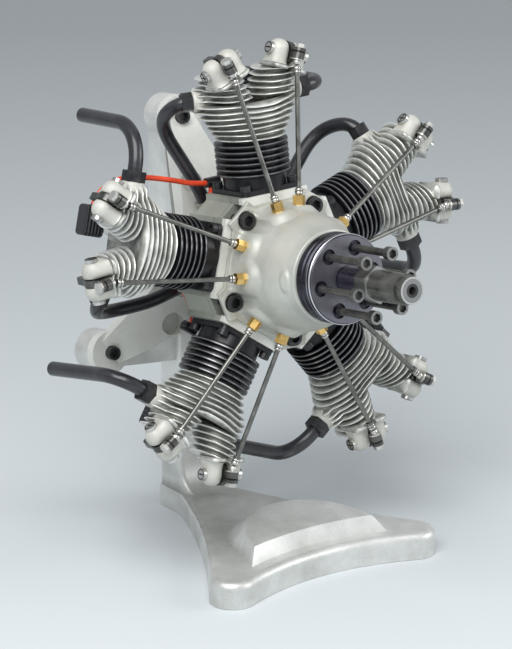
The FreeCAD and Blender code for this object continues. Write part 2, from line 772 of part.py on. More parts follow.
def rocker_pin(tower):
    body = rod(vec(-PIN_HALF, 0, 0), RIGHT, PIN_RADIUS, 2 * PIN_HALF)
    heads = [rod(vec(side * PIN_HALF, 0, 0), RIGHT * side, PIN_HEAD, PIN_HEAD_THICK)
             for side in (-1, 1)]
    slot = Part.makeBox(2.0, 0.8, 10, vec(PIN_HALF + PIN_HEAD_THICK - 0.8, -0.4, -5))
    return tower.placed(fused([body] + heads).cut(slot))


def rocker(tower):
    """Lever on the pin: ball and adjuster in front, valve pad behind."""
    half = ROCKER_THICK / 2.0
    hub = rod(vec(-half, 0, 0), RIGHT, ROCKER_HUB, ROCKER_THICK)
    front = [vec(-half, 0, ARM_ROOT_HEIGHT), vec(-half, -PUSH_ARM, ARM_END_HEIGHT),
             vec(-half, -PUSH_ARM, -ARM_END_HEIGHT), vec(-half, 0, -ARM_ROOT_HEIGHT)]
    pad_height = PAD_RADIUS - PAD_DROP
    rear = [vec(-half, 0, ARM_ROOT_HEIGHT), vec(-half, VALVE_ARM, pad_height + PAD_RADIUS),
            vec(-half, VALVE_ARM, PAD_DROP * 3), vec(-half, VALVE_ARM - 2.4, PAD_DROP * 3),
            vec(-half, 4.0, -3.0), vec(-half, 0, -3.0)]
    pad = rod(vec(-half, VALVE_ARM, pad_height), RIGHT, PAD_RADIUS, ROCKER_THICK)
    web = RIGHT * ROCKER_THICK
    knuckle = rod(vec(KNUCKLE_SHIFT, -PUSH_ARM, -KNUCKLE_HALF), OUT, KNUCKLE_RADIUS, 2 * KNUCKLE_HALF)
    lock_nut = hexagon(vec(KNUCKLE_SHIFT, -PUSH_ARM, KNUCKLE_HALF), OUT, 5.0, 2.0)
    ball = Part.makeSphere(BALL_RADIUS, vec(KNUCKLE_SHIFT, -PUSH_ARM, -BALL_DROP))
    pieces = [hub, prism(front, web), prism(rear, web), pad, knuckle, lock_nut, ball]
    bore = rod(vec(-10, 0, 0), RIGHT, PIN_RADIUS + PIN_CLEARANCE, 20)
    return tower.placed(fused(pieces).cut(bore))


def valve(tower):
    """Valve with its spring retainer, closed; the stem ends just under the rocker's pad."""
    top = -PAD_DROP - RUNNING_GAP
    head = rod(vec(0, VALVE_ARM, -VALVE_SEAT), OUT, VALVE_HEAD_RADIUS, VALVE_HEAD_THICK)
    head = head.translated(OUT * (-VALVE_HEAD_THICK))
    stem = rod(vec(0, VALVE_ARM, -VALVE_SEAT - 0.5), OUT, STEM_RADIUS, VALVE_SEAT + 0.5 + top)
    retainer = rod(vec(0, VALVE_ARM, top - 1.2 - RETAINER_THICK), OUT, RETAINER_RADIUS, RETAINER_THICK)
    return tower.placed(fused([head, stem, retainer]))


def piston_top(index):
    """Crown height of one piston with the crankpin at the top cylinder's side."""
    angle = math.radians(index * TURN)
    lift = PIN_THROW * math.cos(angle)
    swing = PIN_THROW * math.sin(angle)
    slack = PIN_THROW + ROD_LENGTH - lift - math.sqrt(ROD_LENGTH ** 2 - swing ** 2)
    return CROWN_TOP - slack


def piston(index):
    """Hollow piston with its gudgeon pin, at its height for the crank's rest angle."""
    radius = BORE / 2.0 - PISTON_CLEARANCE
    top = piston_top(index)
    centre = vec(0, CYLINDER_Y, top - PISTON_HEIGHT)
    body = rod(centre, OUT, radius, PISTON_HEIGHT)
    hollow = rod(centre - OUT, OUT, radius - PISTON_WALL, PISTON_HEIGHT - 2.0)
    gudgeon = rod(vec(-radius + 1.0, CYLINDER_Y, top - PISTON_HEIGHT + 5.0), RIGHT, 2.4, 2 * radius - 2.0)
    shell = fused([body.cut(hollow), gudgeon])
    for height in (2.2, 4.6):
        ring = rod(centre + OUT * (PISTON_HEIGHT - height), OUT, radius + 1, 1.0)
        groove = ring.cut(rod(centre, OUT, radius - 0.6, PISTON_HEIGHT))
        shell = shell.cut(groove)
    return around(shell, index * TURN)


def crankshaft():
    """Shaft, web with its counterweight, and the crankpin, with the pin at the top."""
    front = rod(vec(0, NUT_BODY_FRONT + 4, 0), REAR, THREAD_RADIUS, -NUT_BODY_FRONT - 4)
    shaft = rod(vec(0, SLEEVE_FRONT + SHAFT_STEP, 0), REAR, SHAFT_NECK, 20)
    journal = rod(vec(0, DRIVER_BACK, 0), REAR, SHAFT_RADIUS, WEB_Y - DRIVER_BACK + 1)
    disc = rod(vec(0, WEB_Y, 0), REAR, COUNTERWEIGHT_RADIUS, WEB_THICK)
    side_cut = Part.makeBox(60, 30, 60, vec(9.0, WEB_Y - 10, 0))
    waist = [side_cut, mirrored(side_cut)]
    pin = rod(vec(0, WEB_Y + 1, PIN_THROW), REAR, CRANKPIN_RADIUS, WEB_THICK - 1 + CRANKPIN_LENGTH)
    trim = rod(vec(0, WEB_Y - 1, 0), REAR, 60, WEB_THICK + 2).cut(
        rod(vec(0, WEB_Y - 2, 0), REAR, PIN_THROW + CRANKPIN_RADIUS + 2.0, WEB_THICK + 4))
    trim = trim.common(Part.makeBox(120, 40, 60, vec(-60, -10, 0)))
    return fused([front, shaft, journal, disc.cut(waist).cut(trim), pin])


def main_bearings():
    bearings = []
    for y in (FRONT_BEARING_Y, REAR_BEARING_Y):
        ring = rod(vec(0, y, 0), REAR, BEARING_RADIUS, BEARING_WIDTH)
        bearings.append(ring.cut(rod(vec(0, y - 1, 0), REAR, SHAFT_RADIUS + 0.05, BEARING_WIDTH + 2)))
    return bearings


def prop_bolt_place(index, y):
    angle = math.radians(PROP_BOLT_TURN + index * 360.0 / PROP_BOLTS)
    return vec(PROP_BOLT_CIRCLE * math.cos(angle), y, PROP_BOLT_CIRCLE * math.sin(angle))


def driver_disc():
    """Grooved disc against which the propeller is clamped."""
    width = DRIVER_BACK - DRIVER_FRONT
    profile = [(SHAFT_RADIUS, DRIVER_FRONT), (DRIVER_RADIUS - 1.0, DRIVER_FRONT),
               (DRIVER_RADIUS, DRIVER_FRONT + 1.0)]
    for share in GROOVE_SHARES:
        y = DRIVER_FRONT + width * share
        profile += [(DRIVER_RADIUS, y - RIM_GROOVE), (DRIVER_RADIUS - RIM_GROOVE, y),
                    (DRIVER_RADIUS, y + RIM_GROOVE)]
    profile += [(DRIVER_RADIUS, DRIVER_BACK), (SHAFT_RADIUS, DRIVER_BACK)]
    cuts = []
    for index in range(PROP_BOLTS):
        cuts.append(rod(prop_bolt_place(index, DRIVER_FRONT - 1), REAR, BOLT_SINK, BOLT_SINK_DEPTH + 1))
        cuts.append(rod(prop_bolt_place(index, DRIVER_FRONT), REAR, M4 / 2.0, width + 1))
    return revolved_y(profile).cut(cuts)


def driver_sleeve():
    """Sleeve through the disc that the propeller slides over, clamped by the shaft nut."""
    step = SLEEVE_FRONT + SHAFT_STEP
    profile = [(THREAD_RADIUS, SLEEVE_FRONT), (DRIVER_SLEEVE, SLEEVE_FRONT), (DRIVER_SLEEVE, DRIVER_FRONT),
               (SHAFT_RADIUS, DRIVER_FRONT), (SHAFT_RADIUS, DRIVER_BACK), (SHAFT_NECK, DRIVER_BACK),
               (SHAFT_NECK, step), (THREAD_RADIUS, step)]
    return revolved_y(profile)


def prop_bolts():
    bolts = []
    for index in range(PROP_BOLTS):
        seat = prop_bolt_place(index, PROP_BOLT_FRONT + M4_HEAD_HEIGHT)
        length = DRIVER_BACK - 1.0 - (PROP_BOLT_FRONT + M4_HEAD_HEIGHT)
        bolts.append(socket_screw(seat, -REAR, M4, M4_HEAD, M4_HEAD_HEIGHT, length))
    return bolts


def prop_nut():
    hex_front = SLEEVE_FRONT - NUT_HEX_LENGTH
    base = hexagon(vec(0, hex_front, 0), REAR, NUT_HEX, NUT_HEX_LENGTH)
    body = rod(vec(0, NUT_BODY_FRONT, 0), REAR, NUT_BODY, hex_front - NUT_BODY_FRONT + 1)
    tip = rod(vec(0, NUT_TIP_FRONT, 0), REAR, NUT_TIP, NUT_BODY_FRONT - NUT_TIP_FRONT + 1)
    thread = rod(vec(0, NUT_BODY_FRONT + 4, 0), REAR, THREAD_RADIUS, 60)
    bore = rod(vec(0, NUT_TIP_FRONT - 1, 0), REAR, NUT_BORE, 12)
    return fused([base, body, tip]).cut([thread, bore])


def nut_bar(root, mouth, flats, diameter):
    end = vec(*mouth)
    way = (end - vec(*root)).normalize()
    nut = hexagon(end, way, flats, NUT_LENGTH)
    return nut.cut(rod(end - way, way, diameter / 2.0, NUT_LENGTH + 2))


def inlet_points(index):
    """Route from one head's inlet port back and in to the distributor, drawn for the top cylinder."""
    mouth = vec(*INLET_PORT)
    way = (mouth - vec(*INLET_ROOT)).normalize()
    angle = math.radians(90.0 + SOCKET_ANGLE[index])
    inward = vec(math.cos(angle), 0, math.sin(angle))
    out_turn = mouth + way * 9.4
    bow = INLET_BOW[index]
    back_turn = vec(mouth.x - 7.0 - bow, SOCKET_Y + 4.5 - bow / 2.0, mouth.z - 12.2 - bow / 2.0)
    approach = inward * (SOCKET_REACH + 19.5) + REAR * (SOCKET_Y + 2.0)
    mouth_in = inward * (SOCKET_REACH + 9.5) + REAR * SOCKET_Y
    end = inward * (SOCKET_REACH - SOCKET_SEAT) + REAR * SOCKET_Y
    return [mouth, out_turn, back_turn, approach, mouth_in, end]


def inlet_pipe(index):
    points = inlet_points(index)
    return around(pipe(points, easy_bends(points), INLET_PIPE), index * TURN)


def exhaust_pipe(index):
    """Stub out of the port, one elbow, then back to its open end."""
    mouth = vec(*EXHAUST_PORT)
    corner = vec(EXHAUST_TAIL[index], mouth.y, mouth.z)
    end = vec(EXHAUST_TAIL[index] + EXHAUST_DRIFT, EXHAUST_END[index], mouth.z + EXHAUST_RISE[index])
    bend = ELBOW_SHARE * (corner.x - mouth.x - NUT_LENGTH)
    tube = pipe([mouth, corner, end], [bend], EXHAUST_PIPE)
    return around(tube, index * TURN)


def pipe_nuts():
    inlet = nut_bar(INLET_ROOT, INLET_PORT, INLET_NUT, INLET_PIPE)
    exhaust = nut_bar(EXHAUST_ROOT, EXHAUST_PORT, EXHAUST_NUT, EXHAUST_PIPE)
    return each_cylinder(inlet) + each_cylinder(exhaust)


def rear_cover():
    """Inlet distributor: a drum with one socket for each inlet pipe."""
    pieces = [rod(vec(0, CASE_BACK, 0), REAR, DISTRIBUTOR_RADIUS, DISTRIBUTOR_DEPTH)]
    socket = rod(vec(0, SOCKET_Y, SOCKET_DEEP), OUT, SOCKET_RADIUS, SOCKET_REACH - SOCKET_DEEP)
    bore = rod(vec(0, SOCKET_Y, SOCKET_REACH - SOCKET_SEAT), OUT, INLET_PIPE / 2.0, PORT_DEEP)
    port = rod(vec(0, SOCKET_Y, PORT_DEEP), OUT, INLET_PIPE / 2.0 - PIPE_WALL, SOCKET_REACH)
    cuts = []
    for index in range(CYLINDERS):
        turn = SOCKET_ANGLE[index] + index * TURN
        pieces.append(around(socket, turn))
        cuts += [around(bore, turn), around(port, turn)]
    start = vec(0, CASE_BACK + PLENUM_FRONT, 0)
    cuts.append(rod(start, REAR, PLENUM_RADIUS, DISTRIBUTOR_DEPTH - PLENUM_REST))
    cuts.append(rod(start, REAR, CARB_BORE, DISTRIBUTOR_DEPTH))
    return fused(pieces).cut(cuts)


def on_mount_circle(index, y):
    angle = math.radians(MOUNT_ANGLE + index * 360.0 / MOUNT_ARMS)
    return vec(MOUNT_CIRCLE * math.cos(angle), y, MOUNT_CIRCLE * math.sin(angle))


def mount_arm(index):
    """Arm from the ring out and back to one lug, broad at the ring, with a round recess."""
    sections = []
    low = (ARM_ROOT_RADIAL, MOUNT_FRONT, MOUNT_BACK, ARM_ROOT_HALF)
    mid = (ARM_MID_RADIAL, MOUNT_FRONT + ARM_MID_STEP, MOUNT_BACK + ARM_MID_STEP + 2.0, ARM_MID_HALF)
    tip = (MOUNT_CIRCLE, LUG_FRONT, LUG_FRONT + LUG_THICK, ARM_TIP_HALF)
    for radial, front, back, half in (low, mid, tip):
        corners = [vec(-half, front, radial), vec(half, front, radial),
                   vec(half, back, radial), vec(-half, back, radial)]
        sections.append(Part.makePolygon(corners + [corners[0]]))
    arm = Part.makeLoft(sections, True, True)
    recess = rod(vec(0, MOUNT_FRONT, RECESS_RADIAL), REAR, RECESS_RADIUS, ARM_MID_STEP + RECESS_DEPTH)
    arm = arm.cut(around(recess, RECESS_TURN))
    return around(arm, MOUNT_ANGLE - 90.0 + index * 360.0 / MOUNT_ARMS)


def engine_mount():
    ring = rod(vec(0, MOUNT_FRONT, 0), REAR, MOUNT_RING, MOUNT_PLATE)
    pieces = [ring]
    for index in range(MOUNT_ARMS):
        pieces.append(mount_arm(index))
        pieces.append(rod(on_mount_circle(index, LUG_FRONT), REAR, LUG_RADIUS, LUG_THICK))
    cuts = [rod(vec(0, MOUNT_FRONT - 1, 0), REAR, MOUNT_EYE, MOUNT_PLATE + 2)]
    for index in range(MOUNT_ARMS):
        cuts.append(rod(on_mount_circle(index, LUG_FRONT - 10), REAR, M4 / 2.0, 30))
        cuts.append(rod(on_mount_circle(index, LUG_FRONT - 12), REAR, M4_HEAD / 2.0 + LUG_HOLE_ROOM, 12))
    return fused(pieces).cut(cuts)


def mount_screws():
    screws = []
    for index in range(MOUNT_ARMS):
        seat = on_mount_circle(index, LUG_FRONT)
        screws.append(socket_screw(seat, -REAR, M4, M4_HEAD, M4_HEAD_HEIGHT, LUG_THICK + STAND_HOLE))
    return screws


def carburettor():
    """Barrel carburettor on the distributor's throat, with a cross bore for the throttle."""
    start = vec(0, MOUNT_FRONT, 0)
    body = rod(start, REAR, CARB_RADIUS, CARB_LENGTH)
    flange = rod(start, REAR, MOUNT_EYE - 0.5, 3.0)
    cross = rod(vec(-CARB_RADIUS - 3, MOUNT_FRONT + THROTTLE_Y, 0), RIGHT, THROTTLE_RADIUS + 2.0,
                2 * CARB_RADIUS + 6)
    whole = fused([body, flange, cross])
    bore = rod(start - REAR, REAR, CARB_BORE, CARB_LENGTH + 2)
    throttle = rod(vec(-CARB_RADIUS - 4, MOUNT_FRONT + THROTTLE_Y, 0), RIGHT,
                   THROTTLE_RADIUS + 0.06, 2 * CARB_RADIUS + 8)
    return whole.cut([bore, throttle])


def throttle_barrel():
    y = MOUNT_FRONT + THROTTLE_Y
    barrel_body = rod(vec(-CARB_RADIUS - 3, y, 0), RIGHT, THROTTLE_RADIUS, 2 * CARB_RADIUS + 8)
    opening = rod(vec(0, y - 10, 0), REAR, THROTTLE_OPENING, 20)
    x = CARB_RADIUS + 3.3
    arm = [vec(x, y - LEVER_ROOT, 0), vec(x, y + LEVER_ROOT, 0),
           vec(x, y + LEVER_TIP, THROTTLE_LEVER), vec(x, y - LEVER_TIP, THROTTLE_LEVER)]
    lever = fused([prism(arm, RIGHT * LEVER_THICK), rod(vec(x, y, 0), RIGHT, THROTTLE_RADIUS - 0.1, LEVER_THICK)])
    eye = rod(vec(x - 1, y, THROTTLE_LEVER - LEVER_TIP), RIGHT, LEVER_EYE, 5)
    return fused([barrel_body, lever]).cut([opening, eye])


def on_toe(degrees):
    """Point on the right toe's round, measured from +X."""
    angle = math.radians(degrees)
    return vec(TOE_X + TOE_RADIUS * math.cos(angle), TOE_Y + TOE_RADIUS * math.sin(angle), 0)


def flip(point):
    return vec(-point.x, point.y, point.z)


def base_outline():
    """Plan of the base: two round toes, a hollow front, and sides that run in to the neck."""
    rise = TOE_Y - FRONT_HOLLOW
    front_radius = (TOE_X ** 2 + rise ** 2 - TOE_RADIUS ** 2) / (2.0 * (TOE_RADIUS - rise))
    toe_slope = math.degrees(math.asin(TOE_X / (front_radius + TOE_RADIUS)))
    inner = on_toe(-90.0 - toe_slope)
    outer = on_toe(TOE_TURN)
    middle = on_toe((TOE_TURN - 90.0 - toe_slope) / 2.0)
    neck = vec(NECK_HALF, NECK_FRONT, 0)
    back = vec(NECK_HALF, NECK_BACK, 0)
    waist = vec(WAIST_X, WAIST_Y, 0)
    edges = [Part.Arc(flip(inner), vec(0, FRONT_HOLLOW, 0), inner).toShape(),
             Part.Arc(inner, middle, outer).toShape(),
             Part.Arc(outer, waist, neck).toShape(),
             Part.makeLine(neck, back),
             Part.makeLine(back, flip(back)),
             Part.makeLine(flip(back), flip(neck)),
             Part.Arc(flip(neck), flip(waist), flip(outer)).toShape(),
             Part.Arc(flip(outer), flip(middle), flip(inner)).toShape()]
    return Part.Wire(edges)


def base_plate():
    plate = Part.Face(base_outline()).extrude(vec(0, 0, BASE_THICK))
    top_edges = [edge for edge in plate.Edges
                 if min(vertex.Point.z for vertex in edge.Vertexes) > BASE_THICK - 0.01]
    return plate.makeFillet(BASE_ROUND, top_edges)


def hump_wire(corner, side, front, back, height):
    """Crescent outline: hollow front, short straight sides and a round back, at height(y)."""
    points = [vec(-corner[0], corner[1], 0), vec(0, front, 0), vec(corner[0], corner[1], 0),
              vec(side[0], side[1], 0), vec(0, back, 0), vec(-side[0], side[1], 0)]
    left, nose, right, right_side, rear, left_side = [vec(p.x, p.y, height(p.y)) for p in points]
    return Part.Wire([Part.Arc(left, nose, right).toShape(),
                      Part.makeLine(right, right_side),
                      Part.Arc(right_side, rear, left_side).toShape(),
                      Part.makeLine(left_side, left)])


def base_hump():
    """Raised crescent on the base; its flat crest tilts to the front and its sides slope."""
    foot = hump_wire(HUMP_CORNER, HUMP_SIDE, HUMP_FRONT, HUMP_BACK, lambda y: BASE_THICK - 0.5)
    crest_front = BASE_THICK + CREST_HEIGHT
    crest = hump_wire(CREST_CORNER, CREST_SIDE, CREST_FRONT, CREST_BACK,
                      lambda y: crest_front + (y - CREST_CORNER[1]) * CREST_TILT)
    return Part.makeLoft([foot, crest], True, True)


def lug_world(index, y):
    point = on_mount_circle(index, y)
    pitch = math.radians(-PITCH)
    return vec(point.x, point.y * math.cos(pitch) - point.z * math.sin(pitch),
               point.y * math.sin(pitch) + point.z * math.cos(pitch) + CRANK_HEIGHT)


def stand_arm(index):
    """Arm from the column to one lower lug."""
    tip = lug_world(index, LUG_FRONT + LUG_THICK + STAND_THICK / 2.0)
    side = 1.0 if tip.x > 0 else -1.0
    root = vec(side * NECK_HALF / 2.0, (NECK_FRONT + NECK_BACK) / 2.0, tip.z - ARM_DROP)
    sections = []
    for point, tall, deep in ((root, ARM_ROOT, ARM_DEPTH), (tip, ARM_TIP, STAND_THICK - 2.0)):
        corners = [point + vec(0, -deep / 2, -tall / 2), point + vec(0, deep / 2, -tall / 2),
                   point + vec(0, deep / 2, tall / 2), point + vec(0, -deep / 2, tall / 2)]
        sections.append(Part.makePolygon(corners + [corners[0]]))
    return Part.makeLoft(sections, True, True)


def column():
    """Upright with a curved foot; its back steps out to the upper lug."""
    top = lug_world(0, LUG_FRONT + LUG_THICK).z
    low = BASE_THICK - BASE_ROUND
    toe = vec(-NECK_HALF, NECK_FRONT - COLUMN_FOOT, BASE_THICK)
    knee = vec(-NECK_HALF, NECK_FRONT, BASE_THICK + COLUMN_FOOT)
    bulge = COLUMN_FOOT * (1.0 - math.sqrt(0.5))
    middle = vec(-NECK_HALF, NECK_FRONT - bulge, BASE_THICK + bulge)
    outline = [vec(-NECK_HALF, y, z) for y, z in (
        (NECK_FRONT, top), (HEAD_BACK, top), (HEAD_BACK, top - 40.0), (NECK_BACK, CRANK_HEIGHT - 30.0),
        (NECK_BACK, low), (toe.y, low))]
    edges = [Part.Arc(toe, middle, knee).toShape(), Part.makeLine(knee, outline[0])]
    for start, end in zip(outline, outline[1:] + [toe]):
        edges.append(Part.makeLine(start, end))
    body = Part.Face(Part.Wire(edges)).extrude(RIGHT * (2.0 * NECK_HALF))
    upright = [edge for edge in body.Edges
               if edge.Length > 60.0 and abs(edge.tangentAt(edge.FirstParameter).z) > 0.9]
    return body.makeFillet(COLUMN_CORNER, upright)


def stand():
    lug_start = LUG_FRONT + LUG_THICK
    lugs = [in_place(rod(on_mount_circle(index, lug_start), REAR, LUG_RADIUS, STAND_THICK))
            for index in range(MOUNT_ARMS)]
    head_place = vec(-NECK_HALF, lug_start, MOUNT_CIRCLE - COLUMN_HEAD)
    head = in_place(Part.makeBox(2 * NECK_HALF, STAND_THICK, COLUMN_HEAD + 2.0, head_place))
    pieces = [base_plate(), base_hump(), column(), head] + lugs + [stand_arm(1), stand_arm(2)]
    body = fused(pieces)
    front_cap = in_place(rod(vec(0, lug_start - 40, 0), REAR, 110, 40))
    keep_out = front_cap.common(Part.makeBox(300, 300, 300, vec(-150, -100, BASE_THICK + 40)))
    holes = [in_place(rod(on_mount_circle(index, lug_start - 1), REAR, M4 / 2.0, STAND_HOLE + 1.0))
             for index in range(MOUNT_ARMS)]
    return body.cut([keep_out] + holes)


def glow_plug():
    """Hexagon and terminal of the plug in the rear of the head."""
    base = hexagon(plug_seat(), plug_way(), 2.0 * PLUG_RADIUS, 4.0)
    return fused([base, rod(plug_seat(), plug_way(), PLUG_RADIUS * 0.7, PLUG_LENGTH)])


def plug_cap(index):
    """Rounded boot behind one head, over the plug."""
    size_x, size_y, size_z = CAP_SIZE
    x, y, z = CAP_PLACE
    low = z + CAP_RISE[index] - size_z / 2.0
    block = Part.makeBox(size_x, size_y, size_z, vec(x - size_x / 2.0, y - size_y / 2.0, low))
    block = block.makeFillet(CAP_ROUND, block.Edges)
    cap = block.cut([glow_plug(), rod(vec(*PLUG_ROOT), plug_way(), PLUG_BOSS + 0.3, PLUG_SEAT)])
    return around(cap, index * TURN)


def connector_frame():
    """Face of a lead connector that lies behind a barrel's foot, drawn for the top cylinder."""
    y = CYLINDER_Y + FOOT_HALF_Y + CONNECTOR_RADIUS
    return vec(CONNECTOR_SIDE, y, CONNECTOR_RADIAL)


def lead_connectors():
    """One connector left of the first barrel's foot, and one right of the third's."""
    half = RIGHT * (CONNECTOR_LENGTH / 2.0)
    place = connector_frame()
    first = rod(vec(-place.x, place.y, place.z) - half, RIGHT, CONNECTOR_RADIUS, CONNECTOR_LENGTH)
    third = rod(place - half, RIGHT, CONNECTOR_RADIUS, CONNECTOR_LENGTH)
    return [first, around(third, 2.0 * TURN)]


def lead_tube(route, ends):
    """Plain lead along its route, cut off where it meets the pieces at its ends."""
    bends = easy_bends(route)
    length = path_wire(route, bends).Length
    print("lead length", round(length, 1), "smallest bend", round(min(bends), 1))
    return swept(route, bends, LEAD_RADIUS).cut(ends)


def glow_lead():
    """From the second cylinder's cap to the first barrel's foot, and from there to the third's."""
    place = connector_frame()
    y = place.y
    first_face = vec(-place.x - CONNECTOR_LENGTH / 2.0, y, place.z)
    turn = math.radians(TURN)
    cap_face = vec(math.cos(turn), 0, math.sin(turn)) * (CAP_PLACE[0] + CAP_SIZE[0] / 2.0)
    cap_face += vec(-math.sin(turn), 0, math.cos(turn)) * (CAP_PLACE[2] + CAP_RISE[1])
    cap_face += REAR * CAP_PLACE[1]
    first = [cap_face, cap_face + vec(6.0, 3.0, 6.0), vec(-68.0, y + 4.4, 56.0), vec(-53.6, y + 3.4, 54.1),
             vec(-37.0, y + 1.4, 49.5), vec(-26.0, y + 0.3, 45.5), first_face]
    under = vec(-place.x - 1.0, y, place.z - CONNECTOR_RADIUS)
    third_side = vec(place.x, y, place.z - CONNECTOR_RADIUS)
    third_side = around(Part.Vertex(third_side), 2.0 * TURN).Point
    third_out = vec(-math.sin(2.0 * turn), 0, math.cos(2.0 * turn))
    second = [under, under - OUT * 4.0, vec(-20.5, y + 1.4, 30.0), vec(-29.5, y + 2.0, 20.0),
              vec(-35.5, y + 2.0, 6.0), vec(-37.8, y + 2.0, -7.0), vec(-34.4, y + 2.0, -15.5),
              third_side - third_out * 4.0, third_side]
    connectors = lead_connectors()
    return [lead_tube(first, [plug_cap(1), connectors[0]]), lead_tube(second, connectors)]


def save(name, shapes):
    """Write one node, moved to the row frame."""
    placed = [in_place(shape) for shape in shapes]
    whole = placed[0] if len(placed) == 1 else Part.makeCompound(placed)
    whole.exportStep("parts/" + name + ".step")
    print(name, len(whole.Solids), round(whole.Volume / 1000.0, 2), whole.isValid())


def build():
    os.makedirs("parts", exist_ok=True)
    body = stand()
    body.exportStep("parts/stand.step")
    print("stand", len(body.Solids), body.isValid())
    save("engine_mount", [engine_mount()])
    save("engine_screws", cover_screws() + mount_screws())
    save("crankcase", [crankcase()])
    save("front_cover", [front_cover()])
    save("rear_cover", [rear_cover()])
    save("main_bearings", main_bearings())
    save("cylinder_barrels", each_cylinder(barrel()))
    save("barrel_screws", [turned for screw in barrel_screws() for turned in each_cylinder(screw)])
    save("cylinder_heads", each_cylinder(cylinder_head()))
    save("pipe_nuts", pipe_nuts())
    save("inlet_pipes", [inlet_pipe(index) for index in range(CYLINDERS)])
    save("exhaust_pipes", [exhaust_pipe(index) for index in range(CYLINDERS)])
    save("tappet_guides", for_towers(tappet_guide))
    save("rocker_pins", for_towers(rocker_pin))
    save("carburettor", [carburettor()])
    save("throttle_barrel", [throttle_barrel()])
    save("crankshaft", [crankshaft()])
    save("prop_driver", [driver_disc(), driver_sleeve()])
    save("prop_bolts", prop_bolts())
    save("prop_nut", [prop_nut()])
    save("glow_plugs", each_cylinder(glow_plug()))
    save("plug_caps", [plug_cap(index) for index in range(CYLINDERS)])
    save("lead_connectors", lead_connectors())
    save("glow_lead", glow_lead())
    for index in range(CYLINDERS):
        number = str(index + 1)
        turn = index * TURN
        for kind, tower in TOWERS.items():
            save(kind + "_rocker_" + number, [around(rocker(tower), turn)])
            save(kind + "_pushrod_" + number, [around(pushrod(tower), turn)])
            save(kind + "_valve_" + number, [around(valve(tower), turn)])
        save("piston_" + number, [piston(index)])


build()
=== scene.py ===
"""Looks of the five-cylinder radial engine on its cast stand, laid out as an add-on.

Lengths are in millimetres in the engine frame unless a name says otherwise: the crank axis is Y, the nose
points to -Y and each cylinder is drawn as the top one. row() moves points to the row frame, in metres.
"""

import json
import math

import bmesh
import bpy
import numpy as np
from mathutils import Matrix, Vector


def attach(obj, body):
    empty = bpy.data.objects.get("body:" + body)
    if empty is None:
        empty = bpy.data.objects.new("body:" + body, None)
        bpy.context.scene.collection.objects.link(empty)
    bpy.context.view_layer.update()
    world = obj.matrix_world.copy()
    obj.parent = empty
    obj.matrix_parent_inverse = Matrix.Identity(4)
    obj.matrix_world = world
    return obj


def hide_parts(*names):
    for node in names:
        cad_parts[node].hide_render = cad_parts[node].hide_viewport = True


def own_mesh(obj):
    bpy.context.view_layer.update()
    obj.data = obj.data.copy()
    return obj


bl_info = {
    "name": "Radial engine looks",
    "version": (1, 0, 0),
    "blender": (4, 5, 0),
    "location": "View3D > Sidebar > Radial engine",
    "description": "Dresses the packed radial engine with its castings, steel, brass and lead finishes",
    "category": "Object",
}

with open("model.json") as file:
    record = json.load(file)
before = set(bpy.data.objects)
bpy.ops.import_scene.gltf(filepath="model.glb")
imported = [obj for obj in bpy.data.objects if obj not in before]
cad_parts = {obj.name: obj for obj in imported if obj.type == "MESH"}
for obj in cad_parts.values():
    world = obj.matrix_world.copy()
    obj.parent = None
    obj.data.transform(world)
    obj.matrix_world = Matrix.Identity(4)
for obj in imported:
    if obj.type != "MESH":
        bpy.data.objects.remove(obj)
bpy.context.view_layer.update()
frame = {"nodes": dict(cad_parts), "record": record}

# Engine layout
MM = 0.001
CYLINDERS = 5
PITCH = math.radians(10.0)
CRANK_HEIGHT = 158.0
CYLINDER_Y = 18.4
SIDES = (("inlet", -1), ("exhaust", 1))

# Rocker towers
TOWER_LEAN = math.radians(23.4)
PIN_SIDE = 20.45
PIN_Y = 8.0
PIN_RADIAL = 108.1
PIN_HALF = 10.0
SLOT_HALF = 2.3
VALVE_ARM = 10.0
POCKET_RADIUS = 4.2
POCKET_TOP = -6.7
POCKET_FLOOR = -16.9
SPRING_TOP = -3.35

# Prop driver, nut and bolts: places along the shaft and radii; and the top of the stand's plate
DISC_FACE = -55.0
NUT_SEAT = -73.05
NUT_STEP = -82.0
NUT_FRONT = -110.0
BOLT_FACE = -87.0
DISC_RIM = 22.3
SLEEVE_RIM = 12.3
STAND_TOP = 12.0

# Ports of the head: mouth and root of each boss, and the lobes that the fins make round them
HEAD_BASE = 66.3
INLET_PORT = (-26.6, 28.7, 89.2)
INLET_ROOT = (-8.0, 21.5, 89.2)
EXHAUST_PORT = (31.6, 19.0, 87.4)
EXHAUST_ROOT = (8.0, 19.0, 87.4)
PORT_BOSS = 6.0
PORT_BORE = 2.8
PORT_DEPTH = 8.0
PORT_LOBE = 8.2
LOBE_SETBACK = 1.0
PLUG_ROOT = (1.0, 23.7, 76.2)
PLUG_MOUTH = (5.6, 31.8, 86.6)
PLUG_BOSS = 4.8

# Inlet pipes
PIPE_RADIUS = 3.6
SOCKET_ANGLE = (22.0, 31.0, 22.0, 24.0, 22.0)
INLET_BOW = (0.0, 4.0, 0.0, -2.0, 0.0)
SOCKET_Y = 46.5
SOCKET_REACH = 36.5

# Barrels: fins from one height to the next, and where their rims begin
FIRST_RIM = 49.7
BARREL_PITCH = 3.05
RIM_RADIUS = 18.75
FINS_START = 47.9

# Guides and pushrods: the inlet side sits further forward
GUIDE_RADIAL = 34.7
GUIDE_SIDE = 8.3
GUIDE_Y = {-1: -11.7, 1: -7.5}
GUIDE_HALF = 2.5
BALL_PLACE = (1.2, -9.4, -4.2)

